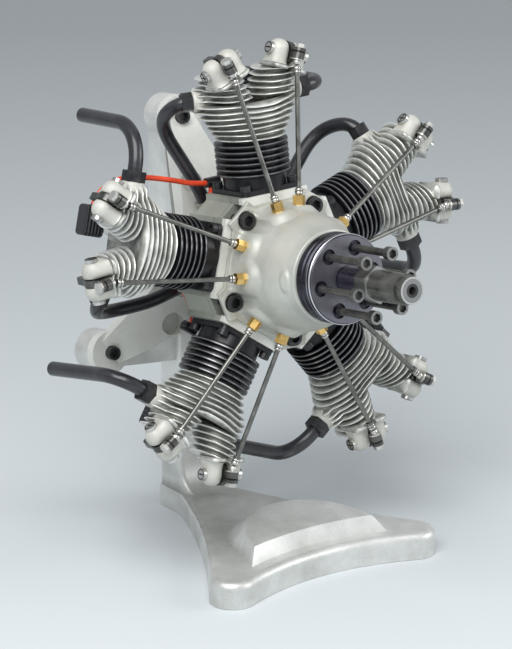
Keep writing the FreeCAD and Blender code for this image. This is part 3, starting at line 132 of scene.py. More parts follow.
# Plug lead route, from the second cylinder's cap to the first barrel's foot, then to the third's
FIRST_LEAD = ((-87.2, 36.6, 46.2), (-81.2, 39.6, 52.2), (-68.0, 41.0, 56.0), (-53.6, 40.0, 54.1),
              (-37.0, 38.0, 49.5), (-26.0, 36.9, 45.5), (-18.0, 36.6, 44.5))
SECOND_LEAD = ((-15.0, 36.6, 41.9), (-15.0, 36.6, 37.9), (-20.5, 38.0, 30.0), (-29.5, 38.6, 20.0),
               (-35.5, 38.6, 6.0), (-37.8, 38.6, -7.0), (-34.4, 38.6, -15.5), (-33.6, 36.6, -22.4),
               (-36.0, 36.6, -25.7))
LEAD_DIAMETER = 2.8
FIRST_LEAD_LENGTH = 74.1
SECOND_LEAD_LENGTH = 75.4


# Places

def row(points):
    """Engine frame in millimetres to the row frame in metres: pitched nose up, then lifted."""
    points = np.asarray(points, float)
    x, y, z = points[..., 0], points[..., 1], points[..., 2]
    level = y * math.cos(PITCH) + z * math.sin(PITCH)
    height = -y * math.sin(PITCH) + z * math.cos(PITCH) + CRANK_HEIGHT
    return np.stack([x, level, height], axis=-1) * MM


def on_cylinder(points, index):
    """Points drawn for the top cylinder, turned about the crank axis to cylinder number index."""
    points = np.asarray(points, float)
    turn = 2.0 * math.pi * index / CYLINDERS
    x, y, z = points[..., 0], points[..., 1], points[..., 2]
    wide, high = x * math.cos(turn) - z * math.sin(turn), x * math.sin(turn) + z * math.cos(turn)
    return np.stack([wide, y, high], axis=-1)


def on_tower(points, side):
    """Points in a tower's frame, X along the pin, Y rearwards and Z out, on the top cylinder."""
    points = np.asarray(points, float)
    lean = side * TOWER_LEAN
    x, y, z = points[..., 0] * side, points[..., 1], points[..., 2]
    across = x * math.cos(lean) + z * math.sin(lean) + side * PIN_SIDE
    out = -x * math.sin(lean) + z * math.cos(lean) + PIN_RADIAL
    return np.stack([across, y + PIN_Y, out], axis=-1)


# Surfaces

def round_angles(count):
    """Even angles of one turn, without its end."""
    return np.linspace(0.0, 2.0 * math.pi, count, endpoint=False)


def unit(vectors):
    """Vectors brought to length 1."""
    return vectors / np.linalg.norm(vectors, axis=-1, keepdims=True)


def grid_faces(rows, columns, close_rows=False, close_columns=False):
    """Quads of a grid of points, wrapped round where it closes."""
    row_start = np.arange(rows if close_rows else rows - 1)
    column_start = np.arange(columns if close_columns else columns - 1)
    a, b = np.meshgrid(row_start, column_start, indexing="ij")
    row_next = (a + 1) % rows
    column_next = (b + 1) % columns
    quads = np.stack([a * columns + b, a * columns + column_next,
                      row_next * columns + column_next, row_next * columns + b], axis=-1)
    return quads.reshape(-1, 4)


def tube_points(path, ways, sides, radius, around):
    """A round section carried along a path: centre plus radius times (cos t side + sin t up).

    path holds points, ways and sides unit vectors along it and across it, radius one value per station.
    """
    ups = np.cross(ways, sides)
    turn = round_angles(around)
    ring = np.cos(turn)[None, :, None] * sides[:, None, :] + np.sin(turn)[None, :, None] * ups[:, None, :]
    return path[:, None, :] + np.asarray(radius)[:, None, None] * ring


def turned_ring(start, way, profile, around=24, across=(0.0, 1.0, 0.0)):
    """A turned piece: (distance along way, radius) stations carried round the axis.

    The first column stands square to way and across.
    """
    side = unit(np.cross(way, across))
    up = np.cross(way, side)
    along, wide = np.array(profile, float).T
    angle = round_angles(around)
    ring = np.cos(angle)[:, None] * side + np.sin(angle)[:, None] * up
    return start + along[:, None, None] * way + wide[:, None, None] * ring[None, :, :]


def coil_points(radius, wire, low, high, turns, around, per_turn):
    """A helical spring about Z: its wire follows (r cos t, r sin t, height), closed at each end."""
    steps = int(turns * per_turn) + 1
    angle = np.linspace(0.0, 2.0 * math.pi * turns, steps)
    height = np.linspace(low + wire, high - wire, steps)
    path = np.stack([radius * np.cos(angle), radius * np.sin(angle), height], axis=-1)
    rise = (high - low - 2.0 * wire) / (2.0 * math.pi * turns)
    ways = np.stack([-radius * np.sin(angle), radius * np.cos(angle), np.full(steps, rise)], axis=-1)
    sides = np.stack([np.cos(angle), np.sin(angle), np.zeros(steps)], axis=-1)
    thick = np.full(steps, wire)
    thick[0] = thick[-1] = 0.02 * wire
    return tube_points(path, unit(ways), sides, thick, around)


def show(name, data):
    """An object for a mesh, curve, lamp or camera, linked to the scene."""
    shown = bpy.data.objects.new(name, data)
    bpy.context.scene.collection.objects.link(shown)
    return shown


def piece(name, points, faces, body, slot, tones=None):
    """A smooth mesh from points of the engine frame, closed at its seams and poles, riding on its body."""
    mesh = bpy.data.meshes.new(name)
    mesh.from_pydata(row(points).reshape(-1, 3).tolist(), [], faces.tolist())
    if tones is not None:
        rim = mesh.attributes.new("rim", "FLOAT", "POINT")
        rim.data.foreach_set("value", np.asarray(tones, np.float32).ravel())
    work = bmesh.new()
    work.from_mesh(mesh)
    bmesh.ops.remove_doubles(work, verts=work.verts, dist=1e-7)
    bmesh.ops.dissolve_degenerate(work, edges=work.edges, dist=1e-7)
    work.to_mesh(mesh)
    work.free()
    mesh.polygons.foreach_set("use_smooth", np.ones(len(mesh.polygons), bool))
    mesh.materials.append(finish_for(slot))
    shown = show(name, mesh)
    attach(shown, body)
    return shown


def tube_piece(name, points, body, slot, flipped=False):
    """A piece from a grid whose columns close round it."""
    faces = grid_faces(points.shape[0], points.shape[1], close_columns=True)
    return piece(name, points, faces[:, ::-1] if flipped else faces, body, slot)


# Finishes, whose places are in millimetres, and half the width of a colour's edge

SHARP = 0.08


class Finish:
    """A material being made: a short call for each kind of node that the finishes use."""

    def __init__(self, name):
        self.material = bpy.data.materials.new(name)
        self.material.use_nodes = True
        self.tree = self.material.node_tree
        self.tree.nodes.clear()
        self.surface = self.add("ShaderNodeBsdfPrincipled")
        output = self.add("ShaderNodeOutputMaterial")
        self.tree.links.new(self.surface.outputs["BSDF"], output.inputs["Surface"])
        self.place = self.add("ShaderNodeTexCoord").outputs["Object"]

    def add(self, kind, **settings):
        node = self.tree.nodes.new(kind)
        for key, value in settings.items():
            setattr(node, key, value)
        return node

    def feed(self, socket, value):
        if isinstance(value, bpy.types.NodeSocket):
            self.tree.links.new(value, socket)
        elif socket.type == "RGBA" and len(value) == 3:
            socket.default_value = (*value, 1.0)
        else:
            socket.default_value = value

    def made(self, **values):
        """The material with these inputs of its surface shader; an underscore stands for a space."""
        for key, value in values.items():
            self.feed(self.surface.inputs[key.replace("_", " ")], value)
        return self.material

    def math(self, operation, *values):
        node = self.add("ShaderNodeMath", operation=operation)
        for socket, value in zip(node.inputs, values):
            self.feed(socket, value)
        return node.outputs[0]

    def noise(self, scale, detail=3.0, roughness=0.6):
        node = self.add("ShaderNodeTexNoise")
        self.feed(node.inputs["Vector"], self.place)
        self.feed(node.inputs["Scale"], scale)
        self.feed(node.inputs["Detail"], detail)
        self.feed(node.inputs["Roughness"], roughness)
        return node.outputs["Fac"]

    def cells(self, scale):
        node = self.add("ShaderNodeTexVoronoi")
        self.feed(node.inputs["Vector"], self.place)
        self.feed(node.inputs["Scale"], scale)
        return node.outputs["Distance"]

    def span(self, value, low, high, first=0.0, last=1.0):
        """value from low to high brought to first to last, and held there outside."""
        node = self.add("ShaderNodeMapRange", clamp=True)
        for socket, number in zip(node.inputs, (value, low, high, first, last)):
            self.feed(socket, number)
        return node.outputs[0]

    def near(self, value, place, half, soft=0.2):
        """1 within half a width of a place, in millimetres, and 0 outside."""
        apart = self.math("ABSOLUTE", self.math("SUBTRACT", value, place * MM))
        return self.span(apart, half * MM, (half + soft) * MM, 1.0, 0.0)

    def beyond(self, value, place):
        """0 before a place, in millimetres, and 1 after it."""
        return self.span(value, (place - SHARP) * MM, (place + SHARP) * MM)

    def before(self, value, place):
        """1 before a place, in millimetres, and 0 after it."""
        return self.span(value, (place - SHARP) * MM, (place + SHARP) * MM, 1.0, 0.0)

    def both(self, first, second):
        return self.math("MULTIPLY", first, second)

    def reach(self, first, second):
        """Distance from an axis: sqrt(a^2 + b^2)."""
        return self.math("SQRT", self.math("ADD", self.both(first, first), self.both(second, second)))

    def cloudy(self, value, first, second):
        """Two colours mixed by a noise, spread to fill the way from one to the other."""
        return self.mix(self.span(value, 0.35, 0.65), first, second)

    def mix(self, share, first, second):
        node = self.add("ShaderNodeMix", data_type="RGBA")
        self.feed(node.inputs[0], share)
        self.feed(node.inputs[6], first)
        self.feed(node.inputs[7], second)
        return node.outputs[2]

    def layered(self, colour, *layers):
        """A colour with layers of (share, colour) laid over it in turn."""
        for share, over in layers:
            colour = self.mix(share, colour, over)
        return colour

    def relief(self, height, strength, depth_mm, under=None):
        node = self.add("ShaderNodeBump")
        self.feed(node.inputs["Strength"], strength)
        self.feed(node.inputs["Distance"], depth_mm * MM)
        self.feed(node.inputs["Height"], height)
        if under is not None:
            self.feed(node.inputs["Normal"], under)
        return node.outputs["Normal"]

    def apart(self, vector):
        """The x, y and z sockets of a vector."""
        parts = self.add("ShaderNodeSeparateXYZ")
        self.feed(parts.inputs[0], vector)
        return parts.outputs

    def engine_place(self):
        """Object coordinates turned back to the engine frame, in metres: x, y and z sockets."""
        node = self.add("ShaderNodeMapping")
        lift = CRANK_HEIGHT * MM
        self.feed(node.inputs["Vector"], self.place)
        self.feed(node.inputs["Rotation"], (PITCH, 0.0, 0.0))
        self.feed(node.inputs["Location"], (0.0, lift * math.sin(PITCH), -lift * math.cos(PITCH)))
        return self.apart(node.outputs[0])

    def cylinder_place(self):
        """Sideways, rearward and outward place on the nearest cylinder, in metres.

        The angle about the crank axis is wrapped to the fifth of a turn round each cylinder.
        """
        x, y, z = self.engine_place()
        angle = self.math("ARCTAN2", x, z)
        near = self.math("WRAP", angle, math.pi / CYLINDERS, -math.pi / CYLINDERS)
        reach = self.reach(x, z)
        sideways = self.both(reach, self.math("SINE", near))
        outward = self.both(reach, self.math("COSINE", near))
        rearward = self.math("SUBTRACT", y, CYLINDER_Y * MM)
        return sideways, rearward, outward


def cast_finish(name, pale, dark, roughness, grain_mm, grain_depth, metallic=0.7, patch=0.5):
    """Cast aluminium: fine grain in the relief, darker pits and slow cloudy patches."""
    finish = Finish(name)
    grain = finish.noise(1.0 / (grain_mm * MM))
    clouds = finish.noise(45.0)
    pits = finish.span(finish.cells(1.0 / (2.2 * grain_mm * MM)), 0.0, 0.45)
    tone = finish.span(finish.math("ADD", finish.both(clouds, patch), finish.both(grain, 1.0 - patch)),
                       0.38, 0.62)
    pitted = finish.math("ADD", grain, finish.both(pits, 0.35))
    return finish.made(Base_Color=finish.mix(tone, dark, pale), Metallic=metallic,
                       Roughness=finish.span(grain, 0.3, 0.7, roughness - 0.07, roughness + 0.07),
                       Normal=finish.relief(pitted, 0.6, grain_depth, finish.relief(clouds, 0.25, 0.5)))


def steel_finish(name, pale, dark, roughness, metallic=1.0, wear=0.35):
    """Turned or drawn steel: fine scratches and faint smears."""
    finish = Finish(name)
    smear = finish.noise(160.0)
    grain = finish.noise(1800.0, 2.0, 0.5)
    tone = finish.span(finish.math("ADD", smear, finish.both(grain, wear)), 0.45, 0.9)
    return finish.made(Base_Color=finish.mix(tone, dark, pale), Metallic=metallic,
                       Roughness=finish.span(smear, 0.35, 0.65, roughness - 0.06, roughness + 0.08),
                       Normal=finish.relief(grain, 0.15, 0.05))


def painted_finish(name, colour, roughness, grain_mm=0.6, grain_depth=0.02, coat=0.0):
    """Satin paint, oxide or moulding with a slight orange peel."""
    finish = Finish(name)
    grain = finish.noise(1.0 / (grain_mm * MM), 2.0, 0.5)
    dust = finish.noise(90.0, 4.0, 0.65)
    lighter = tuple(min(1.0, 1.6 * value + 0.01) for value in colour)
    return finish.made(Base_Color=finish.mix(finish.span(dust, 0.45, 0.75), colour, lighter), Metallic=0.0,
                       Roughness=finish.span(dust, 0.3, 0.7, roughness - 0.05, roughness + 0.08),
                       Coat_Weight=coat, Normal=finish.relief(grain, 0.3, grain_depth))


def barrel_finish():
    """Black barrels whose fin rims are worn bright: the rim is what lies furthest from the barrel's axis."""
    finish = Finish("black barrel with bright rims")
    sideways, rearward, outward = finish.cylinder_place()
    rim = finish.span(finish.reach(sideways, rearward), RIM_RADIUS * MM, (RIM_RADIUS + 0.2) * MM)
    fins = finish.span(outward, FINS_START * MM, (FINS_START + 0.2) * MM)
    half = BARREL_PITCH / 2.0 * MM
    level = finish.math("WRAP", finish.math("SUBTRACT", outward, FIRST_RIM * MM), half, -half)
    rim = finish.both(rim, finish.near(level, 0.0, 0.12, 0.22))
    scuff = finish.span(finish.noise(300.0), 0.3, 0.6, 0.35, 1.0)
    share = finish.both(finish.both(rim, fins), scuff)
    return finish.made(Base_Color=finish.mix(share, (0.010, 0.010, 0.012), (0.30, 0.30, 0.31)),
                       Metallic=finish.span(share, 0.0, 1.0, 0.2, 0.9), Roughness=0.34,
                       Normal=finish.relief(finish.noise(1500.0, 2.0, 0.55), 0.2, 0.03))


# Places along the shaft where the case changes: cover joint, back of its pale strip, groove round its sides
COVER_JOINT = 1.35
STRIP_BACK = 4.5
GROOVE_Y = 12.0


def case_finish():
    """Blasted case: cream cover and front strip, the side faces behind them a darker olive grey with a
    painted shade line along their groove.
    """
    finish = Finish("blasted case")
    y = finish.engine_place()[1]
    grain = finish.noise(2200.0)
    clouds = finish.noise(45.0)
    warm = finish.span(finish.noise(28.0, 2.0, 0.5), 0.45, 0.65)
    strip = finish.both(finish.beyond(y, COVER_JOINT), finish.before(y, STRIP_BACK))
    cream = finish.layered(
        finish.cloudy(clouds, (0.43, 0.445, 0.405), (0.53, 0.54, 0.495)),
        (finish.both(warm, 0.4), (0.52, 0.47, 0.39)),
        (strip, (0.74, 0.745, 0.70)))
    olive = finish.layered(
        finish.cloudy(clouds, (0.27, 0.285, 0.245), (0.36, 0.375, 0.325)),
        # Painted shade: a dark line along the groove round the case's sides.
        (finish.both(finish.near(y, GROOVE_Y, 0.15), 0.7), (0.12, 0.12, 0.11)))
    return finish.made(Base_Color=finish.mix(finish.beyond(y, STRIP_BACK), cream, olive), Metallic=0.35,
                       Roughness=finish.span(grain, 0.3, 0.7, 0.42, 0.54),
                       Normal=finish.relief(grain, 0.5, 0.04, finish.relief(clouds, 0.2, 0.4)))


def blued_finish():
    """Blued driver: grey violet face, black rim with two painted highlight rings, and olive nut and bolts,
    with painted highlight rings at the nut's step and tip.
    """
    finish = Finish("blued steel")
    x, y, z = finish.engine_place()
    reach = finish.reach(x, z)
    smear = finish.noise(120.0, 2.0, 0.5)
    before_disc = finish.before(y, DISC_FACE - 1.3)
    sleeve = finish.before(reach, SLEEVE_RIM)
    face = finish.both(finish.before(y, DISC_FACE + 0.12), finish.beyond(y, DISC_FACE - 1.3))
    face = finish.both(face, finish.both(finish.beyond(reach, 7.0), finish.before(reach, DISC_RIM)))
    bolts = finish.both(before_disc, finish.beyond(reach, SLEEVE_RIM))
    heads = finish.both(bolts, finish.before(y, BOLT_FACE + 0.1))
    nut = finish.both(finish.before(y, NUT_SEAT), sleeve)
    tip = finish.both(nut, finish.before(y, NUT_FRONT + 0.2))
    # Painted highlights: two bright rings where light catches the rim's edge and its groove.
    rim_highlight_rings = finish.math("MAXIMUM", finish.near(y, DISC_FACE + 0.9, 0.2),
                        finish.near(y, DISC_FACE + 3.0, 0.15))
    shade = finish.layered(
        finish.cloudy(smear, (0.030, 0.030, 0.040), (0.060, 0.060, 0.078)),
        (finish.both(before_disc, sleeve), (0.085, 0.08, 0.108)),
        (face, (0.205, 0.20, 0.228)),
        (bolts, finish.cloudy(smear, (0.10, 0.098, 0.09), (0.17, 0.168, 0.15))),
        (nut, finish.cloudy(smear, (0.14, 0.142, 0.128), (0.20, 0.202, 0.185))),
        # Painted highlights: bright rings at the nut's step and near the edge of its tip.
        (finish.both(nut, finish.near(y, NUT_STEP, 0.25)), (0.42, 0.42, 0.41)),
        (finish.math("MAXIMUM", tip, heads), (0.30, 0.30, 0.295)),
        (finish.both(tip, finish.near(reach, 6.5, 0.35)), (0.60, 0.60, 0.58)),
        (finish.both(tip, finish.before(reach, 3.6)), (0.07, 0.07, 0.068)),
        (finish.both(rim_highlight_rings, finish.beyond(reach, DISC_RIM)), (0.60, 0.60, 0.64)))
    return finish.made(Base_Color=shade, Metallic=0.8, Roughness=finish.span(smear, 0.35, 0.65, 0.26, 0.36))


def stand_finish():
    """Sand-cast stand: grainy silver grey, with painted shade on its top, darker and faintly yellow towards
    the column.
    """
    finish = Finish("sand-cast stand")
    y, z = finish.apart(finish.place)[1:]
    grain = finish.noise(1500.0, 3.0, 0.65)
    clouds = finish.noise(35.0)
    tone = finish.span(finish.math("ADD", clouds, finish.both(grain, 0.5)), 0.55, 0.95)
    silver = finish.mix(tone, (0.54, 0.545, 0.52), (0.82, 0.825, 0.80))
    # Painted shade: a darker, faintly yellow copy of the stand's colour, laid over its top more strongly
    # towards the column.
    painted_shade_colour = finish.mix(tone, (0.20, 0.20, 0.175), (0.38, 0.38, 0.345))
    over = finish.span(z, (STAND_TOP + 0.3) * MM, (STAND_TOP + 6.0) * MM, 1.0, 0.0)
    top = finish.both(finish.beyond(z, STAND_TOP - 0.2), over)
    painted_shade_share = finish.both(top, finish.span(y, -32.0 * MM, 25.0 * MM, 0.1, 0.75))
    return finish.made(Base_Color=finish.mix(painted_shade_share, silver, painted_shade_colour), Metallic=0.65,
                       Roughness=finish.span(grain, 0.3, 0.7, 0.36, 0.52),
                       Normal=finish.relief(grain, 0.6, 0.10, finish.relief(clouds, 0.3, 0.5)))


def tower_level(finish, sideways, outward):
    """Height over the rocker pin in the tower's frame, in metres."""
    lean = math.sin(TOWER_LEAN), math.cos(TOWER_LEAN)
    level = finish.math("ADD", finish.both(finish.math("ABSOLUTE", sideways), lean[0]),
                        finish.both(outward, lean[1]))
    return finish.math("SUBTRACT", level, (PIN_SIDE * lean[0] + PIN_RADIAL * lean[1]) * MM)


PIN_RING = 2.55


def pin_finish():
    """Nickelled rocker pins with a dark ring and a dark slot across each head, both painted shade."""
    finish = Finish("nickelled pin")
    sideways, rearward, outward = finish.cylinder_place()
    level = tower_level(finish, sideways, outward)
    behind = finish.math("SUBTRACT", rearward, (PIN_Y - CYLINDER_Y) * MM)
    apart = finish.reach(level, behind)
    # Painted shade: the slot across each head and a ring round it are painted near black.
    slot = finish.both(finish.near(level, 0.0, 0.3), finish.near(apart, 0.0, 1.9))
    dark = finish.math("MAXIMUM", slot, finish.near(apart, PIN_RING, 0.2))
    clouds = finish.noise(160.0)
    plain = finish.cloudy(clouds, (0.66, 0.65, 0.62), (0.45, 0.44, 0.42))
    return finish.made(Base_Color=finish.mix(dark, plain, (0.03, 0.03, 0.03)), Metallic=1.0,
                       Roughness=finish.span(clouds, 0.35, 0.65, 0.22, 0.32))


# Knuckle of a rocker: how far before the pin it ends, and heights over the pin of its bands
KNUCKLE_BACK = 6.5
LOCK_NUT = 3.2
KNUCKLE_GROOVE = 1.1
LOWER_EDGE = -2.6


def rocker_finish():
    """Gunmetal rockers: grooved knuckle at the pushrod's end, the groove painted shade, with a bright lock
    nut, lower edge and ball.
    """
    finish = Finish("gunmetal rocker")
    sideways, rearward, outward = finish.cylinder_place()
    level = tower_level(finish, sideways, outward)
    end = finish.before(rearward, PIN_Y - CYLINDER_Y - KNUCKLE_BACK)
    bright = finish.math("MAXIMUM", finish.beyond(level, LOCK_NUT), finish.before(level, LOWER_EDGE))
    # Painted shade: the knuckle's groove is painted near black.
    groove = finish.near(level, KNUCKLE_GROOVE, 0.35)
    clouds = finish.noise(160.0)
    colour = finish.layered(
        finish.cloudy(clouds, (0.085, 0.085, 0.08), (0.15, 0.15, 0.14)),
        (finish.both(groove, end), (0.02, 0.02, 0.02)),
        (finish.both(bright, end), (0.62, 0.61, 0.58)))
    return finish.made(Base_Color=colour, Metallic=0.9,
                       Roughness=finish.span(clouds, 0.35, 0.65, 0.26, 0.38),
                       Normal=finish.relief(clouds, 0.2, 0.1))


CAP_RIB = 2.0


def cap_finish():
    """Moulded black caps with ribs across them."""
    finish = Finish("moulded cap")
    outward = finish.cylinder_place()[2]
    ribs = finish.math("SINE", finish.both(outward, 2.0 * math.pi / (CAP_RIB * MM)))
    return finish.made(Base_Color=(0.022, 0.022, 0.025), Roughness=0.46,
                       Normal=finish.relief(ribs, 0.8, 0.5))


def make_finishes():
    """Every finish by the record's slot name; pin_steel is the scene's own, for the rocker pins."""
    return {
        "stand_casting": stand_finish(),
        "blasted_casting": cast_finish("blasted mount casting", (0.76, 0.765, 0.72), (0.62, 0.625, 0.585),
                                       0.55, 0.5, 0.05, metallic=0.25),
        "case_casting": case_finish(),
        "head_casting": head_finish(),
        "black_barrel": barrel_finish(),
        "black_steel": steel_finish("black oxide steel", (0.062, 0.062, 0.065), (0.02, 0.02, 0.022),
                                    0.36, metallic=0.6),
        "black_pipe": painted_finish("satin black pipe", (0.014, 0.014, 0.018), 0.34, coat=0.3),
        "blued_steel": blued_finish(),
        "rod_steel": steel_finish("drawn rod steel", (0.26, 0.26, 0.24), (0.13, 0.13, 0.12), 0.36),
        "rocker_steel": rocker_finish(),
        "bright_steel": steel_finish("nickelled steel", (0.72, 0.71, 0.68), (0.45, 0.44, 0.42), 0.24),
        "pin_steel": pin_finish(),
        "piston_alloy": steel_finish("turned piston alloy", (0.72, 0.72, 0.72), (0.55, 0.55, 0.55), 0.35),
        "brass": steel_finish("turned brass", (0.84, 0.57, 0.21), (0.80, 0.53, 0.18), 0.24, wear=0.1),
        "cap_rubber": cap_finish(),
        "red_lead": painted_finish("red lead", (0.66, 0.055, 0.015), 0.38, grain_mm=1.0, grain_depth=0.01),
    }


FINISHES = {}


def finish_for(slot):
    """The finish of a slot; all of them are made at the first call."""
    if not FINISHES:
        FINISHES.update(make_finishes())
    return FINISHES[slot]


def dress(nodes, finish=None):
    """Gives each named CAD node the named finish, or that of its slot in the record."""
    slots = {part["node"]: part["material_slot"] for part in frame["record"]["subparts"]}
    for name in nodes:
        materials = frame["nodes"][name].data.materials
        materials.clear()
        materials.append(finish_for(finish or slots[name]))


def nodes_with(*parts):
    """Names of the CAD nodes that hold one of these words."""
    return [name for name in frame["nodes"] if any(part in name for part in parts)]


# Cast heads: every surface is drawn for the exhaust side of the top cylinder and mirrored for the inlet side

FIN_PITCH = 3.05
JOINED_FINS = 7
TOWER_FINS = 5
FIN_DEPTH = 3.8
VEE_WIDTH = 0.16
VEE_SINK = 1.9
LOW_HALF_X = 18.3
WIDE_HALF_X = 27.0
HEAD_HALF_Y = 19.0
TOWER_Y = 16.0
TOWER_HALF_X = 11.3
TOWER_HALF_Y = 14.2
INNER_TOP = 97.0
INNER_FADE = 9.0
FIN_STEPS = 84
TOWER_STEPS = 56
POST_STEPS = 28
DOME_STEPS = 12
# One fin from valley to valley: share of the pitch, and share of the fin's depth
FIN_SECTION = ((0.0, 0.0), (0.18, 0.04), (0.32, 0.22), (0.37, 0.72), (0.42, 0.94), (0.5, 1.0),
               (0.58, 0.94), (0.63, 0.72), (0.68, 0.22), (0.82, 0.04))
# Tones of the "rim" attribute: 0 in a valley, 1 on a rim, and this on blasted faces; the head finish paints
# shade at low tones and a highlight at high ones
MATTE = 1.6
EAR_RADIUS = 5.9
EAR_OFFSET = 5.0


def fin_grid(first, count, steps, rows=None):
    """Angle, height and share of the depth at each point of a stack of fins, from the fin numbered first."""
    section = np.array(FIN_SECTION)
    levels = first + np.arange(count)
    heights = (HEAD_BASE + FIN_PITCH * (levels[:, None] + section[None, :, 0])).ravel()
    turn, height = np.meshgrid(round_angles(steps), heights[:rows])
    share = np.repeat(np.tile(section[:, 1], count)[:rows, None], steps, axis=1)
    return turn, height, share


def oval_reach(angle, half_x, half_y):
    """Distance from the centre of an ellipse to its edge: ab / sqrt((b cos t)^2 + (a sin t)^2)."""
    return half_x * half_y / np.sqrt((half_y * np.cos(angle)) ** 2 + (half_x * np.sin(angle)) ** 2)


def wobble(angle, height, size):
    """Slow unevenness of a sand casting: a sum of three sines of angle and height."""
    level = height / FIN_PITCH
    return size * (np.sin(3.0 * angle + 1.9 * level) + 0.6 * np.sin(5.0 * angle - 1.1 * level)
                   + 0.4 * np.sin(9.0 * angle + 2.7 * level)) / 2.0


def port_reach(turn, height, middle_x, middle_y, root, mouth):
    """Distance from the fins' middle to the edge of a port's lobe, or 0 where the lobe is not met.

    The lobe's end is a rounded square, |u|^4 + |v|^4 = h^4 with h = sqrt(R^2 - rise^2), whose far edge stays
    just short of the port's mouth.
    """
    way = unit(np.array([mouth[0] - root[0], mouth[1] - root[1]]))
    rise = np.abs(height - mouth[2])
    half = np.where(rise < 0.85 * PORT_LOBE, np.sqrt(np.clip(PORT_LOBE ** 2 - rise ** 2, 0.0, None)), 0.0)
    off_x = mouth[0] - way[0] * (LOBE_SETBACK + half) - middle_x
    off_y = mouth[1] - way[1] * (LOBE_SETBACK + half) - middle_y
    along = off_x * np.cos(turn) + off_y * np.sin(turn)
    across = off_y * np.cos(turn) - off_x * np.sin(turn)
    inside = half ** 4 - across ** 4
    return np.where((inside > 0.0) & (along > 0.0), along + np.clip(inside, 0.0, None) ** 0.25, 0.0)


def softer_max(first, second):
    """The larger of two lengths with a rounded join: (a^p + b^p)^(1/p)."""
    return (first ** 14 + second ** 14) ** (1.0 / 14.0)


def joined_fins():
    """The finned body below the towers: an oval that widens upwards, carried in and out by the fins.

    Towards the top it draws in and sinks between the towers by exp(-((|sin t| - 1) / w)^2).
    """
    turn, height, share = fin_grid(0, JOINED_FINS, FIN_STEPS)
    level = (height - HEAD_BASE) / FIN_PITCH - 0.5
    half_x = LOW_HALF_X + (WIDE_HALF_X - LOW_HALF_X) * np.clip(level / (JOINED_FINS - 3.0), 0.0, 1.0)
    high = np.clip((level - 2.0) / 4.0, 0.0, 1.0)
    vee = np.exp(-((np.abs(np.sin(turn)) - 1.0) / VEE_WIDTH) ** 2) * high
    depth = FIN_DEPTH * (1.0 - 0.45 * vee)
    reach = oval_reach(turn, half_x, HEAD_HALF_Y) * (1.0 - 0.07 * vee)
    for root, mouth in ((INLET_ROOT, INLET_PORT), (EXHAUST_ROOT, EXHAUST_PORT)):
        reach = softer_max(reach, port_reach(turn, height, 0.0, CYLINDER_Y, root, mouth))
    reach = reach - depth * (1.0 - share) + wobble(turn, height, 0.15)
    lift = wobble(turn, height + 7.0, 0.22) * share - VEE_SINK * vee * share
    points = np.stack([reach * np.cos(turn), CYLINDER_Y + reach * np.sin(turn), height + lift], axis=-1)
    return closed_ends(points, share, (0.0, CYLINDER_Y, HEAD_BASE),
                       (0.0, CYLINDER_Y, height[-1, 0] - 3.0))


def closed_ends(points, share, low, high, rings=5):
    """Adds rings that shrink to a centre below the first row and above the last one."""
    factors = np.linspace(1.0, 0.0, rings + 1)[1:, None, None]
    below = (low + (points[0] - low) * factors)[::-1]
    above = high + (points[-1] - high) * factors
    flat = np.full((rings, points.shape[1]), 0.4)
    return np.concatenate([below, points, above]), np.concatenate([0.3 * flat, share, flat])


def tower_fins(root, mouth):
    """A leaning tower of oval fins, closed by a top with the spring pocket sunk in it.

    Its fins are shallower towards the other tower, by exp(-((cos t + 1) / 0.5)^2), up to INNER_TOP.
    """
    turn, height, share = fin_grid(JOINED_FINS, TOWER_FINS, TOWER_STEPS, -2)
    middle = PIN_SIDE - (PIN_RADIAL - height) * math.tan(TOWER_LEAN)
    inner = np.exp(-((np.cos(turn) + 1.0) / 0.5) ** 2)
    inner = inner * np.clip((INNER_TOP - height) / INNER_FADE, 0.0, 1.0)
    depth = FIN_DEPTH * (1.0 - 0.4 * inner)
    lobe = port_reach(turn, height, middle, TOWER_Y, root, mouth)
    reach = softer_max(oval_reach(turn, TOWER_HALF_X, TOWER_HALF_Y), lobe)
    reach = reach - depth * (1.0 - share) + wobble(turn, height, 0.15)
    lift = wobble(turn, height + 3.0, 0.2) * share
    fins = np.stack([middle + reach * np.cos(turn), TOWER_Y + reach * np.sin(turn), height + lift], axis=-1)

    def ring(radius, out):
        x, y = radius * np.cos(turn[0]), VALVE_ARM + radius * np.sin(turn[0])
        return on_tower(np.stack([x, y, np.full(TOWER_STEPS, out)], axis=-1), 1)

    rim = ring(POCKET_RADIUS + 0.35, POCKET_TOP)
    top = [fins[-1] + (rim - fins[-1]) * part for part in (0.1, 0.35, 0.7)]
    well = [rim, ring(POCKET_RADIUS, POCKET_TOP - 0.35), ring(POCKET_RADIUS, POCKET_FLOOR + 0.3),
            ring(POCKET_RADIUS - 0.3, POCKET_FLOOR), ring(0.0, POCKET_FLOOR)]
    centre = np.array([middle[0, 0], TOWER_Y, height[0, 0] - 2.0])
    foot = fins[0] + (centre - fins[0]) * 0.3
    low = np.broadcast_to(centre, foot.shape)
    points = np.concatenate([[low, foot], fins, top, well])
    # The well's tones fall towards the pocket's floor, so the head finish paints shade down inside the
    # spring pocket.
    tones = np.concatenate([[0.0, 0.0], share[:, 0], [0.75, 0.7, 0.65], [0.7, 0.3, 0.1, 0.0, 0.0]])
    return points, np.repeat(tones[:, None], TOWER_STEPS, axis=1)


# Foot of an ear: radius and height from the pin, with one fin round it
EAR_FOOT = ((0.0, -9.0), (8.9, -9.0), (9.0, -7.9), (8.7, -7.4), (7.4, -7.0), (6.7, -6.5), (6.2, -5.6),
            (EAR_RADIUS, -4.4), (EAR_RADIUS, -2.0))


